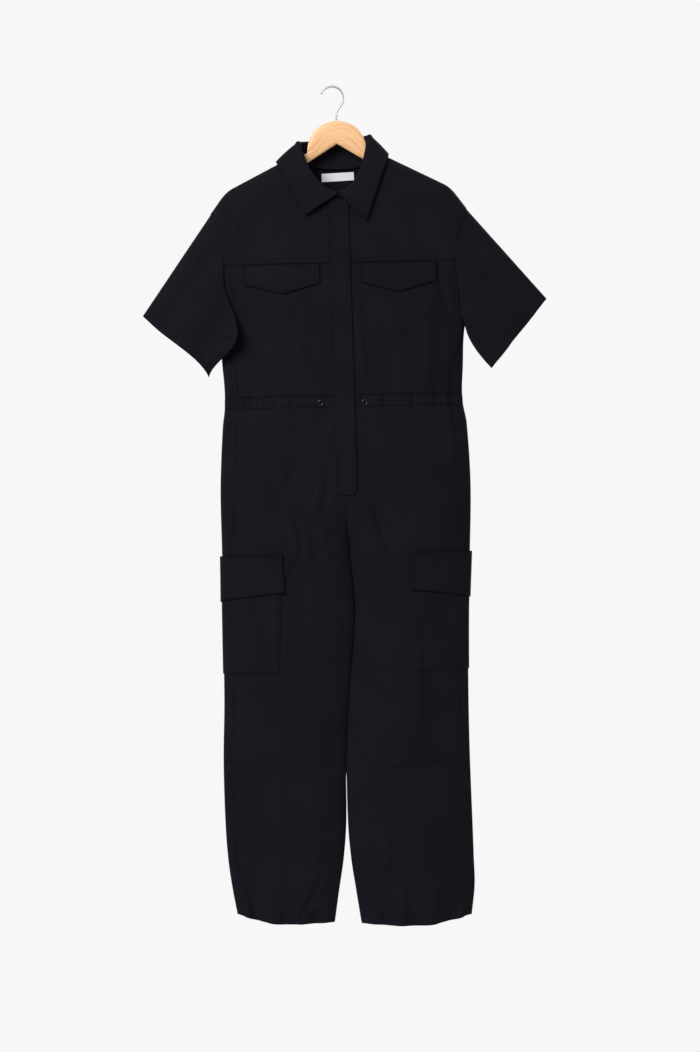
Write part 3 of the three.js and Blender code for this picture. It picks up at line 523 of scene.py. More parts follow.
def hem_z(side, q):
    """Height of a leg's hem, lowest in the middle of the leg."""
    hem = HEMS[side]
    across = (1 - np.cos(np.pi * q)) / 2
    end = np.where(across < 0.5, hem["inner"], hem["outer"])
    return lerp(end, hem["middle"], np.sin(np.pi * across))


def yoke_top(across, drop):
    """The neckline's height inside the neck, and the shoulder line's outside it."""
    share = clamp(np.abs(across) / NECK_HALF)
    neck = NECK_SIDE_Z - drop * np.sqrt(np.maximum(0, 1 - share * share))
    return np.where(np.abs(across) < NECK_HALF, neck, shoulder_z(across))


# Meshes from grids
def border_lines(length, cell, ends=True):
    """Shares from 0 to 1 for grid lines: close together at both borders, so that the edges round off."""
    count = max(2, int(round(length / cell)))
    lines = np.linspace(0, 1, count + 1)
    if not ends:
        return lines
    near = np.array([0.16, 0.5, 1.1, 2.2]) / length
    inner = lines[(lines > 3.4 / length) & (lines < 1 - 3.4 / length)]
    return np.concatenate([[0], near, inner, 1 - near[::-1], [1]])


def normals_of(points, closed):
    """Unit normals of a grid of points, from the differences along its two ways."""
    if closed:
        along = np.roll(points, -1, axis=1) - np.roll(points, 1, axis=1)
    else:
        along = np.gradient(points, axis=1)
    normal = np.cross(along, np.gradient(points, axis=0))
    length = np.linalg.norm(normal, axis=-1, keepdims=True)
    return normal / np.maximum(length, 1e-9)


def running(points, axis):
    """Distance walked along a grid's lines from their start."""
    steps = np.linalg.norm(np.diff(points, axis=axis), axis=-1)
    start = np.zeros_like(np.take(steps, [0], axis=axis))
    return np.concatenate([start, np.cumsum(steps, axis=axis)], axis=axis)


def make_object(name, vertices, faces, material, uv=None, painted_groove_shade=None):
    """A smooth mesh object in metres from points in millimetres and faces, with its map and the painted shade
    of its seam grooves.
    """
    mesh = bpy.data.meshes.new(name)
    mesh.from_pydata(vertices * MM, [], faces)
    mesh.polygons.foreach_set("use_smooth", np.ones(len(mesh.polygons), bool))
    if uv is not None:
        corners = np.zeros(len(mesh.loops), np.int32)
        mesh.loops.foreach_get("vertex_index", corners)
        layer = mesh.uv_layers.new(name="cloth")
        layer.data.foreach_set("uv", (uv[corners] * MM).astype(np.float32).ravel())
    if painted_groove_shade is not None:
        attribute = mesh.attributes.new("painted_groove_shade", "FLOAT", "POINT")
        attribute.data.foreach_set("value", painted_groove_shade.astype(np.float32))
    mesh.update()
    mesh.materials.append(material)
    thing = bpy.data.objects.new(name, mesh)
    bpy.context.scene.collection.objects.link(thing)
    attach(thing, "root")
    return thing


def grid_faces(ids, closed=False):
    """Faces of a grid of vertex ids, four to a cell. A closed grid joins its last column to its first."""
    if closed:
        ids = np.concatenate([ids, ids[:, :1]], axis=1)
    a, b = ids[:-1, :-1], ids[:-1, 1:]
    c, d = ids[1:, 1:], ids[1:, :-1]
    return np.stack([a, b, c, d], axis=-1).reshape(-1, 4)


def shell(name, surface, cell, low, high, material, turned=False, closed=False, roll=1.1, dark=0.42):
    """A closed thin shell between two offsets from surface(u, v), with rounded edges.

    Its lines crowd at the borders. There the two faces close up along a quarter of a circle of radius roll,
    and the cloth's colour is darkened by painted shade of strength dark, standing in for the shade in a
    seam's groove.
    u cross v points outwards unless turned. A closed shell goes all the way round in u.
    """
    probe = np.linspace(0, 1, 25)
    wide = max(running(surface(probe[None, :], np.full((1, 25), v)), 1)[0, -1] for v in (0.25, 0.5, 0.75))
    tall = max(running(surface(np.full((25, 1), u), probe[:, None]), 0)[-1, 0] for u in (0.25, 0.5, 0.75))
    u = border_lines(wide, cell, ends=not closed)
    if closed:
        u = u[:-1]
    v = border_lines(tall, cell)
    points = surface(*np.meshgrid(u, v))
    normals = normals_of(points, closed) * (-1 if turned else 1)
    across, down = running(points, 1), running(points, 0)
    edge = np.minimum(down, down[-1:] - down)
    if not closed:
        edge = np.minimum(edge, np.minimum(across, across[:, -1:] - across))
    round_off = np.sqrt(np.maximum(0, 1 - (1 - clamp(edge / roll)) ** 2))[..., None]
    middle, half = (low + high) / 2, (high - low) / 2
    outer = points + normals * (middle + half * round_off)
    inner = points + normals * (middle - half * round_off)
    rows, columns = points.shape[:2]
    border = np.zeros((rows, columns), bool)
    border[0] = border[-1] = True
    if not closed:
        border[:, 0] = border[:, -1] = True
    ids = np.arange(rows * columns).reshape(rows, columns)
    under = np.where(border, ids, -1)
    under[~border] = rows * columns + np.arange((~border).sum())
    top_faces = grid_faces(ids, closed)
    low_faces = grid_faces(under, closed)[:, ::-1]
    faces = np.concatenate([top_faces, low_faces])
    if turned:
        faces = faces[:, ::-1]
    vertices = np.concatenate([outer.reshape(-1, 3), inner[~border]])
    flat = np.stack([across - across[:, -1:] / 2, down], axis=-1)
    uv = np.concatenate([flat.reshape(-1, 2), flat[~border]])
    # Painted shade: darkest at the borders and fading within a few millimetres, for the shade in seam grooves
    # and beside edges
    shaded = dark * bell(edge, 1.5)
    painted_groove_shade = np.concatenate([shaded.ravel(), shaded[~border]])
    return make_object(name, vertices, faces, material, uv, painted_groove_shade)


def cloth_piece(name, cut, surface, cell, low, high, turned=False, rests_on=(), held="hung", **form):
    """A cloth shell that stands for its solid, which it hides; the cut is not used."""
    thing = shell(f"{name}_cloth", surface, cell, low, high, material_for("cloth"), turned=turned, **form)
    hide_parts(name)
    return thing


STITCH_RING = ((0.0, 0.5), (1.0, 0.0), (0.0, -0.5), (-1.0, 0.0))


def stitch_faces():
    """Faces of one stitch: a four-sided bead with pointed ends."""
    faces = []
    for k in range(4):
        n = (k + 1) % 4
        faces.append((0, 1 + n, 1 + k))
        faces.append((1 + k, 1 + n, 5 + n))
        faces.append((1 + k, 5 + n, 5 + k))
        faces.append((9, 5 + k, 5 + n))
    return np.array(faces)


def sewing(name, runs):
    """Rows of stitches as real thread. Each run gives a surface, shares along it, and its height above it."""
    cloth = bpy.context.scene.jumpsuit_cloth
    length, pitch = cloth.stitch_length / MM, (cloth.stitch_length + cloth.stitch_gap) / MM
    half = cloth.thread_width / MM / 2
    template = [(-0.5 * length, 0, 0)]
    template += [(-0.3 * length, a * half, b * half) for a, b in STITCH_RING]
    template += [(0.3 * length, a * half, b * half) for a, b in STITCH_RING]
    template += [(0.5 * length, 0, 0)]
    template = np.array(template)
    beads = []
    for surface, u, v, lift, turned in runs:
        u, v = np.broadcast_arrays(np.asarray(u, float), np.asarray(v, float))
        line = surface(u, v)
        step = 1e-3
        du = surface(u + step, v) - surface(u - step, v)
        dv = surface(u, v + step) - surface(u, v - step)
        normal = np.cross(du, dv) * (-1 if turned else 1)
        normal /= np.maximum(np.linalg.norm(normal, axis=-1, keepdims=True), 1e-9)
        walked = np.concatenate([[0], np.cumsum(np.linalg.norm(np.diff(line, axis=0), axis=-1))])
        places = np.arange(pitch / 2, walked[-1], pitch)
        if len(places) < 2:
            continue
        at = np.stack([np.interp(places, walked, line[:, k]) for k in range(3)], axis=-1)
        out = np.stack([np.interp(places, walked, normal[:, k]) for k in range(3)], axis=-1)
        ahead = np.stack([np.interp(places + 0.4, walked, line[:, k]) for k in range(3)], axis=-1)
        behind = np.stack([np.interp(places - 0.4, walked, line[:, k]) for k in range(3)], axis=-1)
        along = ahead - behind
        along /= np.maximum(np.linalg.norm(along, axis=-1, keepdims=True), 1e-9)
        aside = np.cross(out, along)
        aside /= np.maximum(np.linalg.norm(aside, axis=-1, keepdims=True), 1e-9)
        centre = at + out * lift
        bead = (
            centre[:, None]
            + along[:, None] * template[None, :, :1]
            + aside[:, None] * template[None, :, 1:2]
            + out[:, None] * template[None, :, 2:]
        )
        beads.append(bead.reshape(-1, 3))
    vertices = np.concatenate(beads)
    count = len(vertices) // len(template)
    faces = (stitch_faces()[None] + len(template) * np.arange(count)[:, None, None]).reshape(-1, 3)
    thing = make_object(name, vertices, faces, material_for("thread"))
    return thing


def steady(n, start=0.0, end=1.0):
    """Evenly spaced shares from start to end."""
    return np.linspace(start, end, n)


# Materials
def node(material, kind, **settings):
    """Adds a shader node with its settings, and places it clear of the others."""
    tree = material.node_tree
    made = tree.nodes.new(kind)
    made.location = (-220 * len(tree.nodes), 0)
    for key, value in settings.items():
        if key in made.inputs:
            made.inputs[key].default_value = value
        else:
            setattr(made, key, value)
    return made


def link(material, source, output, target, socket):
    """Joins one node's output to another's input."""
    material.node_tree.links.new(source.outputs[output], target.inputs[socket])


def new_material(name):
    """An empty material and its surface shader."""
    material = bpy.data.materials.new(name)
    material.use_nodes = True
    return material, material.node_tree.nodes["Principled BSDF"]


def ramp(material, stops):
    """A colour ramp with the given places and colours."""
    made = node(material, "ShaderNodeValToRGB")
    elements = made.color_ramp.elements
    while len(elements) < len(stops):
        elements.new(0.5)
    for element, (place, colour) in zip(elements, stops):
        element.position = place
        element.color = (*colour, 1)
    return made


def shade(colour, times):
    """A colour made lighter or darker."""
    return tuple(min(1.0, c * times) for c in colour)


def twill_cloth():
    """Very dark navy twill: diagonal wales, long slubs, faint patches, and painted shade along seams and
    edges.
    """
    cloth = bpy.context.scene.jumpsuit_cloth
    colour = tuple(cloth.cloth_colour)
    material, shader = new_material("navy_twill")
    where = node(material, "ShaderNodeUVMap", uv_map="cloth")
    wales = node(material, "ShaderNodeTexWave", wave_type="BANDS", bands_direction="DIAGONAL")
    wales.inputs["Scale"].default_value = 620
    wales.inputs["Distortion"].default_value = 0.6
    wales.inputs["Detail"].default_value = 1
    link(material, where, "UV", wales, "Vector")
    stretch = node(material, "ShaderNodeMapping")
    stretch.inputs["Scale"].default_value = (1500, 90, 1)
    link(material, where, "UV", stretch, "Vector")
    slubs = node(material, "ShaderNodeTexNoise")
    slubs.inputs["Scale"].default_value = 1
    slubs.inputs["Detail"].default_value = 2
    link(material, stretch, "Vector", slubs, "Vector")
    place = node(material, "ShaderNodeTexCoord")
    patches = node(material, "ShaderNodeTexNoise")
    patches.inputs["Scale"].default_value = 11
    patches.inputs["Detail"].default_value = 4
    patches.inputs["Roughness"].default_value = 0.6
    link(material, place, "Object", patches, "Vector")
    mixed = node(material, "ShaderNodeMath", operation="MULTIPLY_ADD")
    mixed.inputs[1].default_value = 0.45
    link(material, wales, "Fac", mixed, 0)
    link(material, slubs, "Fac", mixed, 2)
    tones = ramp(material, [(0.35, shade(colour, 0.72)), (1.1 / 1.2, shade(colour, 1.32))])
    link(material, mixed, "Value", tones, "Fac")
    broad = ramp(material, [(0.3, (0.74, 0.74, 0.76)), (0.7, (1.0, 1.0, 1.0))])
    link(material, patches, "Fac", broad, "Fac")
    both = node(material, "ShaderNodeMix", data_type="RGBA", blend_type="MULTIPLY")
    both.inputs["Factor"].default_value = 1
    link(material, tones, "Color", both, 6)
    link(material, broad, "Color", both, 7)
    # Painted shade: the colour darkens towards a fifth of itself along seams and edges
    painted_groove_shade = node(material, "ShaderNodeAttribute", attribute_name="painted_groove_shade")
    darker = node(material, "ShaderNodeMix", data_type="RGBA", blend_type="MIX")
    darker.inputs[7].default_value = (*shade(colour, 0.2), 1)
    link(material, painted_groove_shade, "Fac", darker, "Factor")
    link(material, both, 2, darker, 6)
    link(material, darker, 2, shader, "Base Color")
    relief = node(material, "ShaderNodeBump")
    relief.inputs["Strength"].default_value = 0.35
    relief.inputs["Distance"].default_value = 0.00025
    link(material, mixed, "Value", relief, "Height")
    link(material, relief, "Normal", shader, "Normal")
    shader.inputs["Roughness"].default_value = 0.86
    shader.inputs["Specular IOR Level"].default_value = 0.07
    shader.inputs["Sheen Weight"].default_value = 0.018
    shader.inputs["Sheen Roughness"].default_value = 0.45
    shader.inputs["Sheen Tint"].default_value = (0.55, 0.6, 0.8, 1)
    return material


def sewing_thread():
    """Twisted polyester thread, darker than the cloth: partly its own navy, partly painted shade of the
    sunken stitch lines.
    """
    colour = tuple(bpy.context.scene.jumpsuit_cloth.thread_colour)
    material, shader = new_material("navy_thread")
    place = node(material, "ShaderNodeTexCoord")
    twist = node(material, "ShaderNodeTexNoise")
    twist.inputs["Scale"].default_value = 900
    link(material, place, "Object", twist, "Vector")
    tones = ramp(material, [(0.3, shade(colour, 0.75)), (0.7, shade(colour, 1.25))])
    link(material, twist, "Fac", tones, "Fac")
    link(material, tones, "Color", shader, "Base Color")
    shader.inputs["Roughness"].default_value = 0.6
    shader.inputs["Specular IOR Level"].default_value = 0.12
    return material


def label_satin():
    """White woven satin with fine crosswise ribs."""
    material, shader = new_material("label_satin")
    where = node(material, "ShaderNodeUVMap", uv_map="cloth")
    ribs = node(material, "ShaderNodeTexWave", wave_type="BANDS", bands_direction="Y")
    ribs.inputs["Scale"].default_value = 900
    link(material, where, "UV", ribs, "Vector")
    tones = ramp(material, [(0.2, (0.76, 0.76, 0.8)), (0.8, (0.86, 0.86, 0.89))])
    link(material, ribs, "Fac", tones, "Fac")
    link(material, tones, "Color", shader, "Base Color")
    relief = node(material, "ShaderNodeBump")
    relief.inputs["Strength"].default_value = 0.25
    relief.inputs["Distance"].default_value = 0.0001
    link(material, ribs, "Fac", relief, "Height")
    link(material, relief, "Normal", shader, "Normal")
    shader.inputs["Roughness"].default_value = 0.45
    shader.inputs["Sheen Weight"].default_value = 0.1
    return material


def varnished_wood():
    """Pale warm wood: long wavering grain along the arms, fine dark pores, under a thin clear varnish."""
    hanger = bpy.context.scene.jumpsuit_hanger
    pale, dark = tuple(hanger.wood_colour), tuple(hanger.grain_colour)
    material, shader = new_material("varnished_wood")
    where = node(material, "ShaderNodeUVMap", uv_map="cloth")
    stretch = node(material, "ShaderNodeMapping")
    stretch.inputs["Scale"].default_value = (6, 95, 1)
    link(material, where, "UV", stretch, "Vector")
    grain = node(material, "ShaderNodeTexNoise")
    grain.inputs["Scale"].default_value = 1.6
    grain.inputs["Detail"].default_value = 5
    grain.inputs["Distortion"].default_value = 0.35
    link(material, stretch, "Vector", grain, "Vector")
    tones = ramp(material, [(0.32, dark), (0.5, shade(pale, 0.95)), (0.72, pale)])
    link(material, grain, "Fac", tones, "Fac")
    fine = node(material, "ShaderNodeMapping")
    fine.inputs["Scale"].default_value = (90, 1500, 1)
    link(material, where, "UV", fine, "Vector")
    pores = node(material, "ShaderNodeTexNoise")
    pores.inputs["Scale"].default_value = 1
    pores.inputs["Detail"].default_value = 2
    link(material, fine, "Vector", pores, "Vector")
    marks = ramp(material, [(0.3, (0.72, 0.6, 0.48)), (0.42, (1, 1, 1))])
    link(material, pores, "Fac", marks, "Fac")
    both = node(material, "ShaderNodeMix", data_type="RGBA", blend_type="MULTIPLY")
    both.inputs["Factor"].default_value = 0.6
    link(material, tones, "Color", both, 6)
    link(material, marks, "Color", both, 7)
    link(material, both, 2, shader, "Base Color")
    relief = node(material, "ShaderNodeBump")
    relief.inputs["Strength"].default_value = 0.12
    relief.inputs["Distance"].default_value = 0.0002
    link(material, grain, "Fac", relief, "Height")
    link(material, relief, "Normal", shader, "Normal")
    shader.inputs["Roughness"].default_value = 0.42
    shader.inputs["Coat Weight"].default_value = 0.25
    shader.inputs["Coat Roughness"].default_value = 0.2
    return material


def bright_steel():
    """Polished plated wire, with faint uneven polish."""
    material, shader = new_material("bright_steel")
    place = node(material, "ShaderNodeTexCoord")
    polish = node(material, "ShaderNodeTexNoise")
    polish.inputs["Scale"].default_value = 160
    link(material, place, "Object", polish, "Vector")
    spread = node(material, "ShaderNodeMapRange")
    spread.inputs["To Min"].default_value = 0.4
    spread.inputs["To Max"].default_value = 0.5
    link(material, polish, "Fac", spread, "Value")
    link(material, spread, "Result", shader, "Roughness")
    shader.inputs["Base Color"].default_value = (0.5, 0.5, 0.51, 1)
    shader.inputs["Metallic"].default_value = 1
    return material


def gunmetal():
    """Dark plated brass of the eyelets, rubbed a little brighter in places."""
    material, shader = new_material("gunmetal")
    place = node(material, "ShaderNodeTexCoord")
    rub = node(material, "ShaderNodeTexNoise")
    rub.inputs["Scale"].default_value = 420
    rub.inputs["Detail"].default_value = 3
    link(material, place, "Object", rub, "Vector")
    tones = ramp(material, [(0.35, (0.006, 0.006, 0.007)), (0.75, (0.022, 0.021, 0.021))])
    link(material, rub, "Fac", tones, "Fac")
    link(material, tones, "Color", shader, "Base Color")
    shader.inputs["Metallic"].default_value = 1
    shader.inputs["Roughness"].default_value = 0.16
    shader.inputs["Coat Weight"].default_value = 0.6
    shader.inputs["Coat Roughness"].default_value = 0.08
    return material


def surround_level(tree, source, output):
    """Adds nodes that give the surroundings' brightness from a direction: dim in front, white behind."""
    parts = tree.nodes.new("ShaderNodeSeparateXYZ")
    spread = tree.nodes.new("ShaderNodeMapRange")
    spread.interpolation_type = "SMOOTHSTEP"
    stage = bpy.context.scene.jumpsuit_stage
    spread.inputs["From Min"].default_value = -0.3
    spread.inputs["From Max"].default_value = 0.6
    spread.inputs["To Min"].default_value = stage.front_fill
    spread.inputs["To Max"].default_value = stage.surround
    tree.links.new(source.outputs[output], parts.inputs[0])
    tree.links.new(parts.outputs["Y"], spread.inputs["Value"])
    return spread


def pale_floor():
    """Matt white paper, faintly uneven, that runs out into the white surroundings with no horizon."""
    material, shader = new_material("pale_floor")
    tree = material.node_tree
    place = node(material, "ShaderNodeTexCoord")
    cloud = node(material, "ShaderNodeTexNoise")
    cloud.inputs["Scale"].default_value = 0.4
    link(material, place, "Object", cloud, "Vector")
    tones = ramp(material, [(0.3, (0.9, 0.9, 0.9)), (0.7, (0.92, 0.92, 0.92))])
    link(material, cloud, "Fac", tones, "Fac")
    link(material, tones, "Color", shader, "Base Color")
    shader.inputs["Roughness"].default_value = 0.9
    shader.inputs["Specular IOR Level"].default_value = 0.1
    away = node(material, "ShaderNodeVectorMath", operation="LENGTH")
    link(material, place, "Object", away, 0)
    ahead = node(material, "ShaderNodeVectorMath", operation="NORMALIZE")
    link(material, place, "Object", ahead, 0)
    glow = node(material, "ShaderNodeEmission")
    level_here = surround_level(tree, ahead, "Vector")
    link(material, level_here, "Result", glow, "Strength")
    share = node(material, "ShaderNodeMapRange", interpolation_type="SMOOTHSTEP")
    share.inputs["From Min"].default_value = 1.2
    share.inputs["From Max"].default_value = 2.4
    link(material, away, "Value", share, "Value")
    mixed = node(material, "ShaderNodeMixShader")
    link(material, share, "Result", mixed, "Fac")
    link(material, shader, "BSDF", mixed, 1)
    link(material, glow, "Emission", mixed, 2)
    link(material, mixed, "Shader", tree.nodes["Material Output"], "Surface")
    return material


FINISHES = {
    "cloth": twill_cloth,
    "thread": sewing_thread,
    "label": label_satin,
    "wood": varnished_wood,
    "steel": bright_steel,
    "gunmetal": gunmetal,
    "floor": pale_floor,
}
_made = {}


def material_for(finish):
    """The material of a finish, made the first time that it is asked for."""
    if finish not in _made:
        _made[finish] = FINISHES[finish]()
    return _made[finish]


# Surfaces of the pieces
def yoke_surface(side):
    """The upper front: from the centre to the armhole, and from neck and shoulder line to the yoke seam."""

    def at(u, v):
        down = np.sign(v) * np.abs(v) ** 2
        edge_z = lerp(SHOULDER_POINT_Z, YOKE_SEAM_Z, down)
        x = lerp(CENTRE, armhole_x(side, edge_z), u)
        top_x = lerp(CENTRE, armhole_x(side, SHOULDER_POINT_Z), u)
        z = lerp(yoke_top(top_x - CENTRE, FRONT_NECK_DROP), YOKE_SEAM_Z, down)
        return chest(x, z, -1)

    return at


def front_edge(side, z):
    """The share q at which the lower front ends: the armhole, and below it the side seam."""
    return np.where(z > UNDERARM_Z, share_at(side, armhole_x(side, z), z), side_seam(z))


def bodice_surface(side):
    """The lower front, from the yoke seam to the waist casing."""

    def at(u, v):
        z = lerp(YOKE_SEAM_Z, CASING_TOP_Z, v)
        return body(side, u * front_edge(side, z), z)

    return at


def both_sides(u, wanted):
    """Joins what wanted(side, out) gives for the right and the left, where out is 1 at the side seams."""
    out = np.abs(2 * u - 1)
    return np.where((u < 0.5)[..., None], wanted("right", out), wanted("left", out))


def back_surface(u, v):
    """The back, from the neckline and shoulder seams to the waist, with its upper rows crowded together."""
    u, v = np.broadcast_arrays(np.asarray(u, float), np.asarray(v, float))
    share = 0.62  # of the rows, those above the underarm

    def wanted(side, out):
        low_z = lerp(UNDERARM_Z, CASING_TOP_Z, (v - share) / (1 - share))
        low = body(side, lerp(2, side_seam(low_z), out), low_z)
        w = np.minimum(v / share, 1.0)
        down = np.sign(w) * np.abs(w) ** 1.75
        edge_z = lerp(SHOULDER_POINT_Z, UNDERARM_Z, down)
        round_x = np.sin(out * np.pi / 2)
        x = lerp(CENTRE, armhole_x(side, edge_z), round_x)
        top_x = lerp(CENTRE, armhole_x(side, SHOULDER_POINT_Z), round_x)
        z = lerp(yoke_top(top_x - CENTRE, BACK_NECK_DROP), UNDERARM_Z, down)
        return np.where((v > share)[..., None], low, chest(x, z, 1))

    return both_sides(u, wanted)


def casing_height(v):
    """A height in the waist casing."""
    return lerp(CASING_TOP_Z, WAIST_SEAM_Z, v)


def casing_front_surface(side):
    """The front half of the waist's channel."""
    return lambda u, v: body(side, u * side_seam(casing_height(v)), casing_height(v))


def casing_back_surface(u, v):
    """The back of the waist's channel, from side seam to side seam."""
    u, v = np.broadcast_arrays(np.asarray(u, float), np.asarray(v, float))
    z = casing_height(v)
    return both_sides(u, lambda side, out: body(side, lerp(2, side_seam(z), out), z))


def trouser_surface(side, back):
    """A leg's front or back, from the waist seam to the hem, whose rows bend to the hem's curve."""

    def at(u, v):
        u, v = np.broadcast_arrays(np.asarray(u, float), np.asarray(v, float))
        last = -1460.0  # down to here the rows are level
        share = (WAIST_SEAM_Z - last) / (WAIST_SEAM_Z - HEMS[side]["middle"])
        q0 = np.where(back, lerp(2, LEG_SEAM_SHARE, u), u * LEG_SEAM_SHARE)
        low = lerp(last, hem_z(side, q0), (v - share) / (1 - share))
        z = np.where(v < share, lerp(WAIST_SEAM_Z, last, v / share), low)
        q = np.where(back, lerp(2, side_seam(z), u), u * side_seam(z))
        return body(side, q, z)

    return at


def sleeve_surface(side):
    """A sleeve, lofted from the armhole seam to the cuff. v runs from armhole to cuff and u goes round."""
    size, sign = SLEEVES[side], SIGN[side]
    middle_z = (SHOULDER_POINT_Z + UNDERARM_Z) / 2
    half_z = (SHOULDER_POINT_Z - UNDERARM_Z) / 2
    outer, inner = np.array(size["outer"], float), np.array(size["inner"], float)

    def at(u, v):
        u, v = np.broadcast_arrays(np.asarray(u, float), np.asarray(v, float))
        angle = 2 * np.pi * u
        z = middle_z + half_z * np.cos(angle)
        front = chest(armhole_x(side, z), z, -1)
        back = chest(armhole_x(side, z), z, 1)
        seam = np.where((np.sin(angle) > 0)[..., None], front, back)
        seam[..., 0] += sign * SLEEVE_START
        across = (1 - np.cos(angle)) / 2
        bow = size["bow"] * 4 * across**3 * (1 - across)
        cuff = points_of(
            lerp(outer[0], inner[0], across) - sign * bow,
            -size["depth"] * np.sin(angle),
            lerp(outer[1], inner[1], across) + bow,
        )
        point = lerp(seam, cuff, v[..., None])
        low = 4 * v * (1 - v) * across**2
        point = point + low[..., None] * np.array(size["drawn"], float)
        lap_turn = angle - np.pi + 0.25
        lap = 6.75 * np.maximum(0, v) * (1 - v) ** 2 * bell(lap_turn, np.where(lap_turn < 0, 0.7, 0.42))
        point[..., 0] += size["lap"][0] * lap * smooth(v * 3)
        point[..., 1] += size["lap"][1] * lap * smooth(v * 6)
        early = np.maximum(0, v) / 0.2
        high = early * np.exp(1 - early) * bell(angle - 2.2, 0.5)
        point[..., 0] += 0.64 * size["lap"][0] * high
        point[..., 1] += 0.15 * size["lap"][1] * high
        strength = bpy.context.scene.jumpsuit_cloth.crease_strength
        for i, fold in enumerate(SLEEVE_FOLDS[side]):
            centre = fold["round"] + fold["drift"] * v
            near = bell(angle / np.pi - centre, fold["width"]) * np.sin(np.pi * clamp(v * 0.9 + 0.1)) ** 0.5
            outward = np.where(centre < 1, -1, 1) * (1 if i < SOLID_SLEEVE_FOLDS else strength)
            point[..., 1] += outward * fold["height"] * near
        ease = np.sin(angle) * v * (1 - v) * 4
        point[..., 1] -= 0.5 * strength * ease * np.sin(point[..., 2] / 13 + point[..., 0] / 29)
        return point

    return at


def placket_surface(u, v):
    """The front fly: a narrow band down the centre front, with rounded lower corners."""
    z = lerp(PLACKET["top"], PLACKET["bottom"], v)
    low = lerp(PLACKET["top_x"], PLACKET["bottom_x"], v)
    foot = PLACKET["foot"] * np.maximum(0, 1 - (1 - v) * 30) ** 2
    return on_front(lerp(low + foot / 3, low + PLACKET["width"] - foot, u), z)


def chest_flap_surface(side):
    """A pocket flap that hangs from its top edge to a lower edge with a point in the middle."""
    middle = CENTRE + SIGN[side] * CHEST_FLAP["across"]

    def at(u, v):
        drop = lerp(CHEST_FLAP["side"], CHEST_FLAP["point"], 1 - np.abs(2 * u - 1))
        x = middle + (u - 0.5) * CHEST_FLAP["width"]
        point = on_front(x, YOKE_SEAM_Z - 0.5 - v * drop)
        belly = 1.5 * np.sin(np.pi * clamp(v)) * np.sin(np.pi * clamp(u)) + 1.1 * smooth(v) ** 2
        point[..., 1] -= belly
        return point

    return at


def wrapped(side, inner, u, z):
    """A place round the outside of the thigh, as far behind as in front."""
    start = share_at(side, CENTRE + SIGN[side] * inner, np.full_like(z, CARGO_BAG["top"]))
    return body(side, lerp(start, 2 - start, u), z)


def cargo_bag_surface(side):
    """The thigh pocket's bag."""

    def at(u, v):
        u, v = np.broadcast_arrays(np.asarray(u, float), np.asarray(v, float))
        return wrapped(side, CARGO_BAG["inner"], u, lerp(CARGO_BAG["top"], CARGO_BAG["bottom"], v))

    return at


def cargo_flap_surface(side):
    """The thigh pocket's flap, deepest in the middle."""

    def at(u, v):
        u, v = np.broadcast_arrays(np.asarray(u, float), np.asarray(v, float))
        drop = lerp(CARGO_FLAP["side"], CARGO_FLAP["point"], 1 - np.abs(2 * u - 1))
        point = wrapped(side, CARGO_FLAP["inner"], u, CARGO_FLAP["top"] - v * drop)
        lift = 1.3 * smooth(v) ** 2 + 0.8 * np.sin(np.pi * clamp(v)) * np.sin(np.pi * clamp(u)) ** 2
        point[..., 1] += np.where(u < 0.5, -1, 1) * lift * np.abs(1 - 2 * u) ** 0.5
        return point

    return at


def neck_seam(turn):
    """The neckline seam, from the centre front at turn 0 round the wearer's left to the back and on."""
    x = CENTRE + NECK_HALF * np.sin(turn)
    facing = np.where(np.cos(turn) > 0, -1, 1)
    drop = np.where(facing < 0, FRONT_NECK_DROP, BACK_NECK_DROP)
    z = NECK_SIDE_Z - drop * np.abs(np.cos(turn)) - 0.01
    return chest(x, z, facing)


def fold_line(turn):
    """The collar's fold, which stands round the neck and drops to the centre front."""
    ahead = np.cos(turn)
    aside = np.sin(turn)
    reach = np.abs(ahead) ** 0.6
    high = FOLD_LINE["high"] + FOLD_LINE["tilt"] * aside
    return points_of(
        CENTRE + FOLD_LINE["half"] * aside - FOLD_LINE["lean"] * aside**2,
        np.where(ahead > 0, FOLD_LINE["front"], FOLD_LINE["back"]) * reach,
        lerp(high, FOLD_LINE["low"], np.maximum(0, ahead) ** 1.4),
    )


def leaf_edge(turn):
    """The leaf's outer edge: from the tip up the collar's side, and level round the back."""
    sign = np.where(np.sin(turn) > 0, 1, -1)
    share = np.abs(turn) / np.pi
    tip_x = np.where(sign > 0, COLLAR_TIPS["left"][0], COLLAR_TIPS["right"][0])
    tip_z = np.where(sign > 0, COLLAR_TIPS["left"][1], COLLAR_TIPS["right"][1])
    side_out = np.where(sign > 0, COLLAR_SIDE["left"]["across"], COLLAR_SIDE["right"]["across"])
    side_z = np.where(sign > 0, COLLAR_SIDE["left"]["z"], COLLAR_SIDE["right"]["z"])
    t = clamp(share / 0.5)
    x, z = lerp(tip_x, CENTRE + sign * side_out, t), lerp(tip_z, side_z, t)
    ahead = points_of(x, chest(x, z, -1)[..., 1] - LEAF_STAND_OFF, z + 5 * t**4)
    s = np.sin(clamp((share - 0.5) / 0.5) * np.pi / 2)
    behind = points_of(
        CENTRE + sign * side_out * np.sqrt(np.maximum(0, 1 - s * s)) ** 0.9,
        lerp(-LEAF_STAND_OFF, FOLD_LINE["back"] + 9, s**0.7),
        lerp(side_z + 5, COLLAR_BACK_EDGE_Z, s),
    )
    return np.where((share < 0.5)[..., None], ahead, behind)


def collar_turn(u):
    """The turn round the neck: from the wearer's right front, round the back, to the left front."""
    right = -lerp(COLLAR_LAP, np.pi, 2 * u)
    left = lerp(np.pi, COLLAR_LAP, 2 * u - 1)
    return np.where(u < 0.5, right, left)


def collar_stand_surface(u, v):
    """The collar's upright part, from the neckline seam up to the fold."""
    u, v = np.broadcast_arrays(np.asarray(u, float), np.asarray(v, float))
    turn = collar_turn(u)
    start = neck_seam(turn) + np.array([0, 0, 2.0])
    return lerp(start, fold_line(turn), v[..., None])


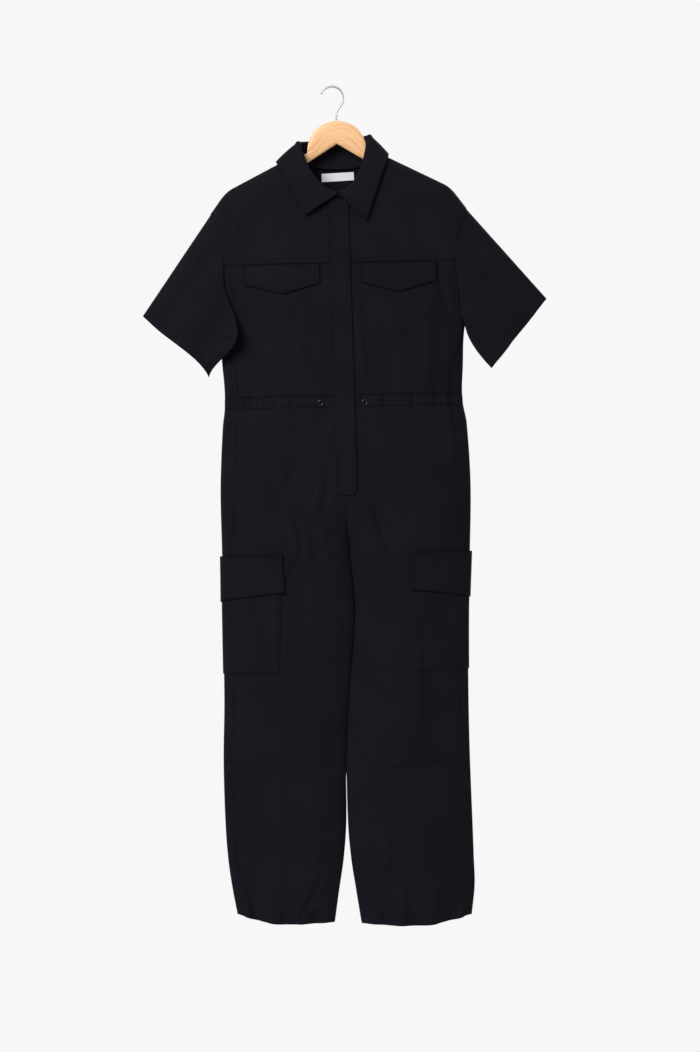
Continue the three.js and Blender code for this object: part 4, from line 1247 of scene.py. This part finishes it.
def collar_leaf_surface(u, v):
    """The collar's leaf: it rolls over at the fold, then falls to its outer edge with a soft belly."""
    u, v = np.broadcast_arrays(np.asarray(u, float), np.asarray(v, float))
    turn = collar_turn(u)
    fold = fold_line(turn)
    outward = points_of(0.9 * np.sin(turn), -np.cos(turn), 0)
    outward /= np.linalg.norm(outward, axis=-1, keepdims=True)
    share = 0.3  # of the rows, those in the roll
    angle = v / share * np.pi
    roll = fold + outward * (COLLAR_ROLL * (1 - np.cos(angle)))[..., None]
    roll[..., 2] += COLLAR_ROLL * np.sin(angle) + 0.3
    start = fold + outward * 2 * COLLAR_ROLL
    fall = (v - share) / (1 - share)
    falling = lerp(start, leaf_edge(turn), fall[..., None])
    belly = np.sin(np.pi * clamp(fall)) * (1.6 + 0.8 * np.sin(turn * 2.4 + 0.6))
    falling = falling + outward * belly[..., None]
    return np.where((v < share)[..., None], roll, falling)


def label_surface(u, v):
    """The neck label, against the inside of the back."""
    across = (u - 0.5) * LABEL["width"]
    return chest(CENTRE + across, LABEL["top"] - v * LABEL["height"] + LABEL["tilt"] * across, 1)


# Settings that a user would change
class JumpsuitCloth(bpy.types.PropertyGroup):
    """Sizes and colours of the cloth and its sewing."""

    thickness: FloatProperty(
        name="Cloth Thickness",
        description="Thickness of a single panel",
        default=0.0016,
        min=0.0005,
        unit="LENGTH",
    )
    folded: FloatProperty(
        name="Doubled Thickness",
        description="Thickness of flaps, the placket and the collar",
        default=0.002,
        min=0.0005,
        unit="LENGTH",
    )
    crease_strength: FloatProperty(
        name="Crease Strength",
        description="How strongly the hand-placed creases stand out, 1 being slight",
        default=1.4,
        min=0.0,
        max=2.0,
    )
    stitch_length: FloatProperty(
        name="Stitch Length",
        description="Length of one topstitch",
        default=0.0026,
        min=0.001,
        unit="LENGTH",
    )
    stitch_gap: FloatProperty(
        name="Stitch Gap",
        description="Gap between topstitches",
        default=0.0007,
        min=0.0002,
        unit="LENGTH",
    )
    thread_width: FloatProperty(
        name="Thread Width",
        description="Width of the topstitching thread",
        default=0.0007,
        min=0.0002,
        unit="LENGTH",
    )
    cloth_colour: FloatVectorProperty(
        name="Cloth Colour",
        description="Colour of the twill",
        default=(0.0056, 0.0057, 0.009),
        size=3,
        min=0.0,
        max=1.0,
        subtype="COLOR",
    )
    # The thread's default is darker than the cloth: partly its own navy, partly painted shade of the sunken
    # stitch lines
    thread_colour: FloatVectorProperty(
        name="Thread Colour",
        description="Colour of the topstitching",
        default=(0.0024, 0.0025, 0.004),
        size=3,
        min=0.0,
        max=1.0,
        subtype="COLOR",
    )


class JumpsuitHanger(bpy.types.PropertyGroup):
    """Colours of the hanger."""

    wood_colour: FloatVectorProperty(
        name="Wood Colour",
        description="The wood's pale tone",
        default=(0.84, 0.5, 0.245),
        size=3,
        min=0.0,
        max=1.0,
        subtype="COLOR",
    )
    grain_colour: FloatVectorProperty(
        name="Grain Colour",
        description="The wood's dark streaks",
        default=(0.66, 0.33, 0.13),
        size=3,
        min=0.0,
        max=1.0,
        subtype="COLOR",
    )


class JumpsuitStage(bpy.types.PropertyGroup):
    """The camera, floor and light."""

    camera_distance: FloatProperty(
        name="Camera Distance",
        description="Distance from the camera to the garment",
        default=8.0,
        min=2.0,
        unit="LENGTH",
    )
    camera_roll: FloatProperty(
        name="Camera Roll",
        description="Turn of the camera about its line of sight",
        default=math.radians(1.3),
        unit="ROTATION",
    )
    picture_height: FloatProperty(
        name="Picture Height",
        description="Height of the picture at the garment",
        default=1.999,
        min=0.5,
        unit="LENGTH",
    )
    floor_height: FloatProperty(
        name="Floor Height",
        description="Height of the floor, below the hook",
        default=-2.4,
        unit="LENGTH",
    )
    surround: FloatProperty(
        name="Surrounding Light",
        description="Brightness of the white surroundings behind the garment",
        default=0.93,
        min=0.0,
    )
    front_fill: FloatProperty(
        name="Front Fill",
        description="Brightness of the surroundings in front of the garment",
        default=0.4,
        min=0.0,
    )
    key_power: FloatProperty(
        name="Key Light",
        description="Power of the main soft light",
        default=230.0,
        min=0.0,
        unit="POWER",
    )


def gauge():
    """Thicknesses of single and doubled cloth, in millimetres."""
    cloth = bpy.context.scene.jumpsuit_cloth
    return cloth.thickness / MM, cloth.folded / MM


class JUMPSUIT_OT_yokes(bpy.types.Operator):
    """Build the upper fronts and the topstitching beside their lower seam"""

    bl_idname = "jumpsuit.yokes"
    bl_label = "Front Yokes"

    def execute(self, context):
        single, _ = gauge()
        runs = []
        for side in SIDES:
            at, turned = yoke_surface(side), side == "left"
            cloth_piece(
                f"front_yoke_{side}", "front_yoke", at, 3.2, -single, 0, turned, rests_on=["hanger_wood"]
            )
            for inset in (0.9938, 0.9735):
                runs.append((at, steady(400, 0.02, 0.985), inset, STITCH_LIFT, turned))
            runs.append((at, steady(300, 0.36, 0.97), 0.115, STITCH_LIFT, turned))
            runs.append((at, 0.982, steady(300, 0.1, 0.98), STITCH_LIFT, turned))
        sewing("sewing_yokes", runs)
        return {"FINISHED"}


class JUMPSUIT_OT_bodices(bpy.types.Operator):
    """Build the lower fronts and their topstitching"""

    bl_idname = "jumpsuit.bodices"
    bl_label = "Front Bodices"

    def execute(self, context):
        single, _ = gauge()
        runs = []
        for side in SIDES:
            at, turned = bodice_surface(side), side == "left"
            cloth_piece(f"front_bodice_{side}", "front_bodice", at, 2.9, -single, 0, turned)
            runs.append((at, 0.984, steady(300, 0.02, 0.45), STITCH_LIFT, turned))
            runs.append((at, 0.978, steady(300, 0.55, 0.97), STITCH_LIFT, turned))
        sewing("sewing_bodices", runs)
        return {"FINISHED"}


class JUMPSUIT_OT_back(bpy.types.Operator):
    """Build the back and its topstitching"""

    bl_idname = "jumpsuit.back"
    bl_label = "Back"

    def execute(self, context):
        single, _ = gauge()
        cloth_piece("back_bodice", "back_bodice", back_surface, 3.6, -single, 0, rests_on=["hanger_wood"])
        runs = [(back_surface, steady(700, 0.05, 0.95), 0.03, STITCH_LIFT, False)]
        for u in (0.008, 0.992):
            runs.append((back_surface, u, steady(300, 0.05, 0.6), STITCH_LIFT, False))
        sewing("sewing_back", runs)
        return {"FINISHED"}


class JUMPSUIT_OT_sleeves(bpy.types.Operator):
    """Build the sleeves and the topstitching at their cuffs"""

    bl_idname = "jumpsuit.sleeves"
    bl_label = "Sleeves"

    def execute(self, context):
        single, _ = gauge()
        runs = []
        for side in SIDES:
            at, turned = sleeve_surface(side), side == "right"
            cloth_piece(f"sleeve_{side}", "sleeve", at, 3.2, -single, 0, turned, closed=True, dark=0.25)
            for v in (0.88, 0.91):
                runs.append((at, steady(900), v, STITCH_LIFT, turned))
        sewing("sewing_cuffs", runs)
        return {"FINISHED"}


class JUMPSUIT_OT_collar(bpy.types.Operator):
    """Build the collar's stand and leaf, their topstitching, and the blank neck label"""

    bl_idname = "jumpsuit.collar"
    bl_label = "Collar"

    def execute(self, context):
        single, folded = gauge()
        cloth_piece("collar_stand", "collar_stand", collar_stand_surface, 3, -folded, 0, True)
        cloth_piece(
            "collar_leaf",
            "collar_leaf",
            collar_leaf_surface,
            2.6,
            -folded,
            0,
            True,
            rests_on=["collar_stand"],
            dark=0.8,
        )
        face = folded + THREAD_CLEAR
        runs = [
            (collar_leaf_surface, steady(1600, 0.02, 0.98), 0.94, -face, True),
            (collar_leaf_surface, 0.02, steady(200, 0.34, 0.94), -face, True),
            (collar_leaf_surface, 0.98, steady(200, 0.34, 0.94), -face, True),
            (collar_stand_surface, steady(900, 0.03, 0.97), 0.1, STITCH_LIFT, True),
        ]
        sewing("sewing_collar", runs)
        back = -single - SEAM
        label = shell("neck_label", label_surface, 1.6, back - 1, back, material_for("label"), roll=0.5)
        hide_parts("neck_label")
        return {"FINISHED"}


class JUMPSUIT_OT_placket(bpy.types.Operator):
    """Build the front fly that hides the fastening, and its topstitching"""

    bl_idname = "jumpsuit.placket"
    bl_label = "Placket"

    def execute(self, context):
        _, folded = gauge()
        cloth_piece(
            "placket", "placket", placket_surface, 2.2, SEAM, SEAM + folded, True, held="laid", dark=0.65
        )
        face = SEAM + folded + THREAD_CLEAR
        runs = [
            (placket_surface, 0.07, steady(1200, 0.005, 0.975), face, True),
            (placket_surface, steady(120, 0.1, 0.9), 0.99, face, True),
            (placket_surface, 0.93, steady(300, 0.75, 0.975), face, True),
        ]
        sewing("sewing_placket", runs)
        return {"FINISHED"}


class JUMPSUIT_OT_chest_flaps(bpy.types.Operator):
    """Build the chest pocket flaps and their topstitching"""

    bl_idname = "jumpsuit.chest_flaps"
    bl_label = "Chest Flaps"

    def execute(self, context):
        _, folded = gauge()
        face = SEAM + folded + THREAD_CLEAR
        runs = []
        for side in SIDES:
            at = chest_flap_surface(side)
            name = f"chest_flap_{side}"
            cloth_piece(name, "chest_flap", at, 1.8, SEAM, SEAM + folded, True, held="laid", dark=0.85)
            runs += [
                (at, steady(300, 0.035, 0.965), 0.88, face, True),
                (at, 0.035, steady(80, 0.05, 0.88), face, True),
                (at, 0.965, steady(80, 0.05, 0.88), face, True),
                (at, steady(300, 0.03, 0.97), 0.07, face, True),
            ]
        sewing("sewing_chest_flaps", runs)
        return {"FINISHED"}


class JUMPSUIT_OT_waist(bpy.types.Operator):
    """Build the waist's channel, its topstitching and its two eyelets"""

    bl_idname = "jumpsuit.waist"
    bl_label = "Waist"

    def execute(self, context):
        single, _ = gauge()
        runs = []
        for side in SIDES:
            at, turned = casing_front_surface(side), side == "left"
            name = f"waist_casing_front_{side}"
            cloth_piece(name, "casing_front", at, 1.8, -single, 0, turned, held="gathered")
            for v in (0.1, 0.9):
                runs.append((at, steady(500, 0.01, 0.99), v, STITCH_LIFT, turned))
        cloth_piece("waist_casing_back", "casing_back", casing_back_surface, 2.1, -single, 0, held="gathered")
        for v in (0.1, 0.9):
            runs.append((casing_back_surface, steady(1000, 0.01, 0.99), v, STITCH_LIFT, False))
        sewing("sewing_waist", runs)
        for side in SIDES:
            build_eyelet(side)
        return {"FINISHED"}


def build_eyelet(side):
    """An eyelet: a domed rim turned about the hole, with its barrel going back through the cloth."""
    x = CENTRE + SIGN[side] * EYELET["across"]
    place = on_front(np.array([x]), np.array([EYELET["z"]]))[0]
    hole, rim, height = EYELET["hole"], EYELET["rim"], EYELET["height"]
    turn = np.linspace(0, np.pi, 11)
    middle, half = (hole + rim) / 2, (rim - hole) / 2
    radius = np.concatenate([middle + half * np.cos(turn), [hole - 0.1, hole + 0.3, rim - 0.4]])
    out = np.concatenate([height * np.sin(turn), [-0.9, -0.9, -0.25]])
    angle = np.linspace(0, 2 * np.pi, 48, endpoint=False)
    points = points_of(
        place[0] + radius[None, :] * np.cos(angle)[:, None],
        place[1] - EYELET["lift"] - out[None, :],
        place[2] + radius[None, :] * np.sin(angle)[:, None],
    )
    ids = np.arange(points.shape[0] * points.shape[1]).reshape(points.shape[:2])
    faces = grid_faces(np.concatenate([ids, ids[:1]]), closed=True)
    thing = make_object(f"eyelet_{side}", points.reshape(-1, 3), faces, material_for("gunmetal"))
    point_outwards(thing)
    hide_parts(f"eyelet_{side}")


def point_outwards(thing):
    """Turns a closed mesh's faces outwards if its signed volume is below 0."""
    mesh = thing.data
    mesh.calc_loop_triangles()
    points = np.zeros(len(mesh.vertices) * 3, np.float32)
    mesh.vertices.foreach_get("co", points)
    points = points.reshape(-1, 3)
    triangles = np.zeros(len(mesh.loop_triangles) * 3, np.int32)
    mesh.loop_triangles.foreach_get("vertices", triangles)
    a, b, c = (points[triangles.reshape(-1, 3)[:, k]] for k in range(3))
    if (a * np.cross(b, c)).sum() < 0:
        mesh.flip_normals()


class JUMPSUIT_OT_trousers(bpy.types.Operator):
    """Build the legs' fronts and backs, with their seams' and hems' topstitching"""

    bl_idname = "jumpsuit.trousers"
    bl_label = "Trousers"

    def execute(self, context):
        single, _ = gauge()
        runs = []
        for side in SIDES:
            for back in (False, True):
                at = trouser_surface(side, back)
                turned = (side == "left") != back
                kind = "trouser_back" if back else "trouser_front"
                cloth_piece(f"{kind}_{side}", kind, at, 3.9, -single, 0, turned, dark=0.22)
                runs.append((at, steady(600, 0.01, 0.99), 0.984, STITCH_LIFT, turned))
                if not back:
                    runs.append((at, 0.978, steady(1500, 0.01, 0.99), STITCH_LIFT, turned))
        front = trouser_surface("left", False)
        runs.append((front, 0.012, steady(400, 0.18, 0.29), STITCH_LIFT, True))
        sewing("sewing_trousers", runs)
        return {"FINISHED"}


class JUMPSUIT_OT_cargo_pockets(bpy.types.Operator):
    """Build the thigh pockets with their flaps and topstitching"""

    bl_idname = "jumpsuit.cargo_pockets"
    bl_label = "Cargo Pockets"

    def execute(self, context):
        single, folded = gauge()
        runs = []
        for side in SIDES:
            turned = side == "left"
            bag, flap = cargo_bag_surface(side), cargo_flap_surface(side)
            name = f"cargo_pocket_{side}"
            high = SEAM + single
            cloth_piece(name, "cargo_pocket", bag, 2.8, SEAM, high, turned, held="laid", roll=4, dark=0.1)
            low = 2 * SEAM + single
            name = f"cargo_flap_{side}"
            cloth_piece(name, "cargo_flap", flap, 2.4, low, low + folded, turned, held="laid", dark=0.85)
            face = SEAM + single + THREAD_CLEAR
            for inset in (0.975, 0.94):
                runs.append((bag, steady(600, 0.02, 0.98), inset, face, turned))
            for u in (0.02, 0.98):
                runs.append((bag, u, steady(400, 0.03, 0.975), face, turned))
            face = low + folded + THREAD_CLEAR
            for v in (0.04, 0.1, 0.93):
                runs.append((flap, steady(600, 0.02, 0.98), v, face, turned))
            for u in (0.02, 0.98):
                runs.append((flap, u, steady(120, 0.04, 0.93), face, turned))
        sewing("sewing_cargo_pockets", runs)
        return {"FINISHED"}


class JUMPSUIT_OT_hanger(bpy.types.Operator):
    """Build the wooden hanger and its bright hook"""

    bl_idname = "jumpsuit.hanger"
    bl_label = "Hanger"

    def execute(self, context):
        build_wood()
        build_hook()
        return {"FINISHED"}


def hanger_outline(x):
    """Top and bottom heights of the hanger at places across: a dome, sloping arms and a notched underside."""
    across = np.abs(x)
    dome, end = HANGER["dome"], HANGER["end"]
    domed = HANGER["dome_top"] - dome + np.sqrt(np.maximum(0, dome**2 - across**2))
    neck = shoulder_z(NECK_HALF) - HANGER["drop"] + SHOULDER_SLOPE * (NECK_HALF - dome) - HANGER["neck_dip"]
    tip_top = shoulder_z(end - 5) - HANGER["drop"]
    arm = lerp(neck, tip_top, (across - dome) / (end - 5 - dome))
    top = np.where(across < dome, np.maximum(domed, neck), arm)
    end_low = shoulder_z(end) - HANGER["drop"] - HANGER["end_height"]
    foot, reach = NOTCH["top"] - NOTCH["fall"], NOTCH["reach"]
    low = np.where(
        across < reach,
        lerp(NOTCH["top"], foot, across / reach),
        lerp(foot, end_low, (across - reach) / (end - 4 - reach)),
    )
    close = np.sqrt(np.maximum(0, 1 - clamp((across - (end - 6)) / 9.5) ** 2))
    middle = (top + low) / 2
    return lerp(middle, top, close), lerp(middle, low, close)


def build_wood():
    """The wood, swept across from end to end: each section is a rounded rectangle between top and bottom."""
    reach = HANGER["end"] + 3.5
    half = np.concatenate([
        np.linspace(0, 50, 40, endpoint=False),
        50 + 7.4 * np.sin(np.linspace(0, np.pi / 2, 16)),
        np.linspace(58.5, HANGER["end"] - 7, 60),
        HANGER["end"] - 6 + 9.4 * np.sin(np.linspace(0, np.pi / 2, 14)),
    ])
    x = np.unique(np.concatenate([-half, half]))
    x = x[np.abs(x) < reach]
    top, low = hanger_outline(x)
    turn = np.linspace(0, 2 * np.pi, 56, endpoint=False)
    radius = 3.2
    squared = 5.0
    ring_y = np.sign(np.cos(turn)) * np.abs(np.cos(turn)) ** (2 / squared)
    ring_z = np.sign(np.sin(turn)) * np.abs(np.sin(turn)) ** (2 / squared)
    half_thick = HANGER["thick"] / 2
    height = np.maximum((top - low) / 2, 0.4)
    inner = np.maximum(height - radius, 0.2)
    corner = np.minimum(radius, height)[:, None]
    z = (top + low)[:, None] / 2 + inner[:, None] * ring_z + corner * np.sin(turn)
    thin = np.minimum(1, height / half_thick)[:, None]
    y = thin * ((half_thick - radius) * ring_y + radius * np.cos(turn))
    points = points_of(x[:, None] + CENTRE, y, z)
    rows, columns = points.shape[:2]
    ids = np.arange(rows * columns).reshape(rows, columns)
    sides = grid_faces(ids, closed=True)
    centres = points[[0, -1]].mean(axis=1)
    vertices = np.concatenate([points.reshape(-1, 3), centres])
    first, last = rows * columns, rows * columns + 1
    ends = [(first, ids[0, (k + 1) % columns], ids[0, k]) for k in range(columns)]
    ends += [(last, ids[-1, k], ids[-1, (k + 1) % columns]) for k in range(columns)]
    faces = [tuple(face) for face in sides.tolist()] + [tuple(int(i) for i in face) for face in ends]
    slope = math.atan(SHOULDER_SLOPE)
    out = np.abs(vertices[:, 0] - CENTRE)
    rise = vertices[:, 2] - HANGER["dome_top"]
    along = out * math.cos(slope) - rise * math.sin(slope)
    up = out * math.sin(slope) + rise * math.cos(slope)
    arm = smooth((out - 10) / 40)
    uv = np.stack([lerp(out, along, arm), lerp(rise, up, arm)], axis=-1)
    uv[:, 1] += 0.4 * vertices[:, 1]
    uv[:, 0] += np.where(vertices[:, 0] < CENTRE, 700, 0)
    wood = make_object("hanger_wood_varnished", vertices, faces, material_for("wood"), uv)
    point_outwards(wood)
    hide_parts("hanger_wood")


def smooth_path(points, count):
    """A curve through points, evenly spaced by distance: a cubic between each two, with the slope at a point
    taken from its neighbours."""
    points = np.asarray(points, float)
    ends = np.concatenate([[2 * points[0] - points[1]], points, [2 * points[-1] - points[-2]]])
    made = []
    for a, b, c, d in zip(ends[:-3], ends[1:-2], ends[2:-1], ends[3:]):
        t = np.linspace(0, 1, 12, endpoint=False)[:, None]
        made.append(
            0.5 * (2 * b + (c - a) * t + (2 * a - 5 * b + 4 * c - d) * t**2 + (3 * b - a - 3 * c + d) * t**3)
        )
    line = np.concatenate([*made, points[-1:]])
    walked = np.concatenate([[0], np.cumsum(np.linalg.norm(np.diff(line, axis=0), axis=1))])
    places = np.linspace(0, walked[-1], count)
    return np.stack([np.interp(places, walked, line[:, k]) for k in range(3)], axis=-1)


def build_hook():
    """The hook: one wire swept along its bend, with a domed tip and a slightly flared foot."""
    centre_z = HOOK["wire"] - HOOK["bend"]
    angles = np.radians(np.linspace(HOOK["tip_angle"], HOOK["leave_angle"], 13))
    route = [(HOOK["bend"] * math.cos(a), 0, centre_z + HOOK["bend"] * math.sin(a)) for a in angles]
    route += [(CENTRE + 4.5, 0, -40), (CENTRE + 0.6, 0, -47), (CENTRE, 0, -55), (CENTRE, 0, -63.7)]
    line = smooth_path(route, 150)
    along = np.gradient(line, axis=0)
    along /= np.linalg.norm(along, axis=1, keepdims=True)
    aside = np.array([0.0, 1.0, 0.0])
    up = np.cross(along, aside)
    walked = np.concatenate([[0], np.cumsum(np.linalg.norm(np.diff(line, axis=0), axis=1))])
    tip = np.sqrt(np.maximum(0.02, 1 - (1 - clamp(walked / HOOK["wire"])) ** 2))
    radius = HOOK["wire"] * tip
    turn = np.linspace(0, 2 * np.pi, 24, endpoint=False)
    ring = np.cos(turn)[None, :, None] * aside + np.sin(turn)[None, :, None] * up[:, None]
    points = line[:, None] + ring * radius[:, None, None]
    rows, columns = points.shape[:2]
    ids = np.arange(rows * columns).reshape(rows, columns)
    faces = [tuple(face) for face in grid_faces(ids, closed=True).tolist()]
    faces += [tuple(ids[0].tolist()), tuple(ids[-1][::-1].tolist())]
    hook = make_object("hanger_hook_bright", points.reshape(-1, 3), faces, material_for("steel"))
    point_outwards(hook)
    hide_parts("hanger_hook")


class JUMPSUIT_OT_stage(bpy.types.Operator):
    """Set the floor, the soft light and the camera"""

    bl_idname = "jumpsuit.stage"
    bl_label = "Stage"

    def execute(self, context):
        stage = context.scene.jumpsuit_stage
        scene = context.scene
        scene.view_settings.view_transform = "Standard"
        world = bpy.data.worlds.new("surroundings")
        world.use_nodes = True
        sky = world.node_tree.nodes["Background"]
        sky.inputs["Color"].default_value = (1, 1, 1, 1)
        where = world.node_tree.nodes.new("ShaderNodeTexCoord")
        brightness = surround_level(world.node_tree, where, "Generated")
        world.node_tree.links.new(brightness.outputs["Result"], sky.inputs["Strength"])
        scene.world = world
        floor_mesh = bpy.data.meshes.new("floor")
        reach = FLOOR_REACH
        corners = [(-reach, -reach, 0), (reach, -reach, 0), (reach, reach, 0), (-reach, reach, 0)]
        floor_mesh.from_pydata(corners, [], [(0, 1, 2, 3)])
        floor_mesh.materials.append(material_for("floor"))
        floor = bpy.data.objects.new("floor", floor_mesh)
        floor.location.z = stage.floor_height
        scene.collection.objects.link(floor)
        target = Vector(VIEW_CENTRE)
        for name, light in LIGHTS.items():
            add_light(name, light["place"], target, light["size"], stage.key_power * light["share"])
        camera_data = bpy.data.cameras.new("camera")
        camera = bpy.data.objects.new("camera", camera_data)
        scene.collection.objects.link(camera)
        camera_data.sensor_fit = "VERTICAL"
        camera_data.sensor_height = 24
        camera_data.lens = 24 * stage.camera_distance / stage.picture_height
        camera_data.clip_end = 200
        upright = Matrix.Rotation(math.pi / 2, 4, "X")
        rolled = Matrix.Rotation(stage.camera_roll, 4, "Y")
        place = Matrix.Translation(target - Vector((0, stage.camera_distance, 0)))
        camera.matrix_world = place @ rolled @ upright
        scene.camera = camera
        return {"FINISHED"}


def add_light(name, place, target, size, power):
    """A square soft light at a place, pointing at the target."""
    light = bpy.data.lights.new(name, "AREA")
    light.shape = "SQUARE"
    light.size = size
    light.energy = power
    thing = bpy.data.objects.new(name, light)
    bpy.context.scene.collection.objects.link(thing)
    thing.location = place
    thing.rotation_euler = (target - Vector(place)).to_track_quat("-Z", "Y").to_euler()


OPERATORS = (
    JUMPSUIT_OT_hanger,
    JUMPSUIT_OT_yokes,
    JUMPSUIT_OT_bodices,
    JUMPSUIT_OT_back,
    JUMPSUIT_OT_sleeves,
    JUMPSUIT_OT_collar,
    JUMPSUIT_OT_placket,
    JUMPSUIT_OT_chest_flaps,
    JUMPSUIT_OT_waist,
    JUMPSUIT_OT_trousers,
    JUMPSUIT_OT_cargo_pockets,
    JUMPSUIT_OT_stage,
)


class JUMPSUIT_PT_panel(bpy.types.Panel):
    """Lists the jumpsuit's settings and pieces"""

    bl_idname = "JUMPSUIT_PT_panel"
    bl_label = "Jumpsuit"
    bl_space_type = "VIEW_3D"
    bl_region_type = "UI"
    bl_category = "Jumpsuit"

    def draw(self, context):
        layout = self.layout
        for name, group in SETTINGS:
            box = layout.box()
            for field in group.__annotations__:
                box.prop(getattr(context.scene, name), field)
        for operator in OPERATORS:
            layout.operator(operator.bl_idname)


SETTINGS = (
    ("jumpsuit_cloth", JumpsuitCloth),
    ("jumpsuit_hanger", JumpsuitHanger),
    ("jumpsuit_stage", JumpsuitStage),
)


def register():
    """Registers the settings, operators and panel."""
    for name, group in SETTINGS:
        bpy.utils.register_class(group)
        setattr(bpy.types.Scene, name, PointerProperty(type=group))
    for thing in (*OPERATORS, JUMPSUIT_PT_panel):
        bpy.utils.register_class(thing)


def unregister():
    """Removes what register added."""
    for thing in reversed((*OPERATORS, JUMPSUIT_PT_panel)):
        bpy.utils.unregister_class(thing)
    for name, group in reversed(SETTINGS):
        delattr(bpy.types.Scene, name)
        bpy.utils.unregister_class(group)


def main():
    """Builds every piece in order."""
    register()
    for operator in OPERATORS:
        group, name = operator.bl_idname.split(".")
        getattr(getattr(bpy.ops, group), name)()


if __name__ == "__main__":
    main()
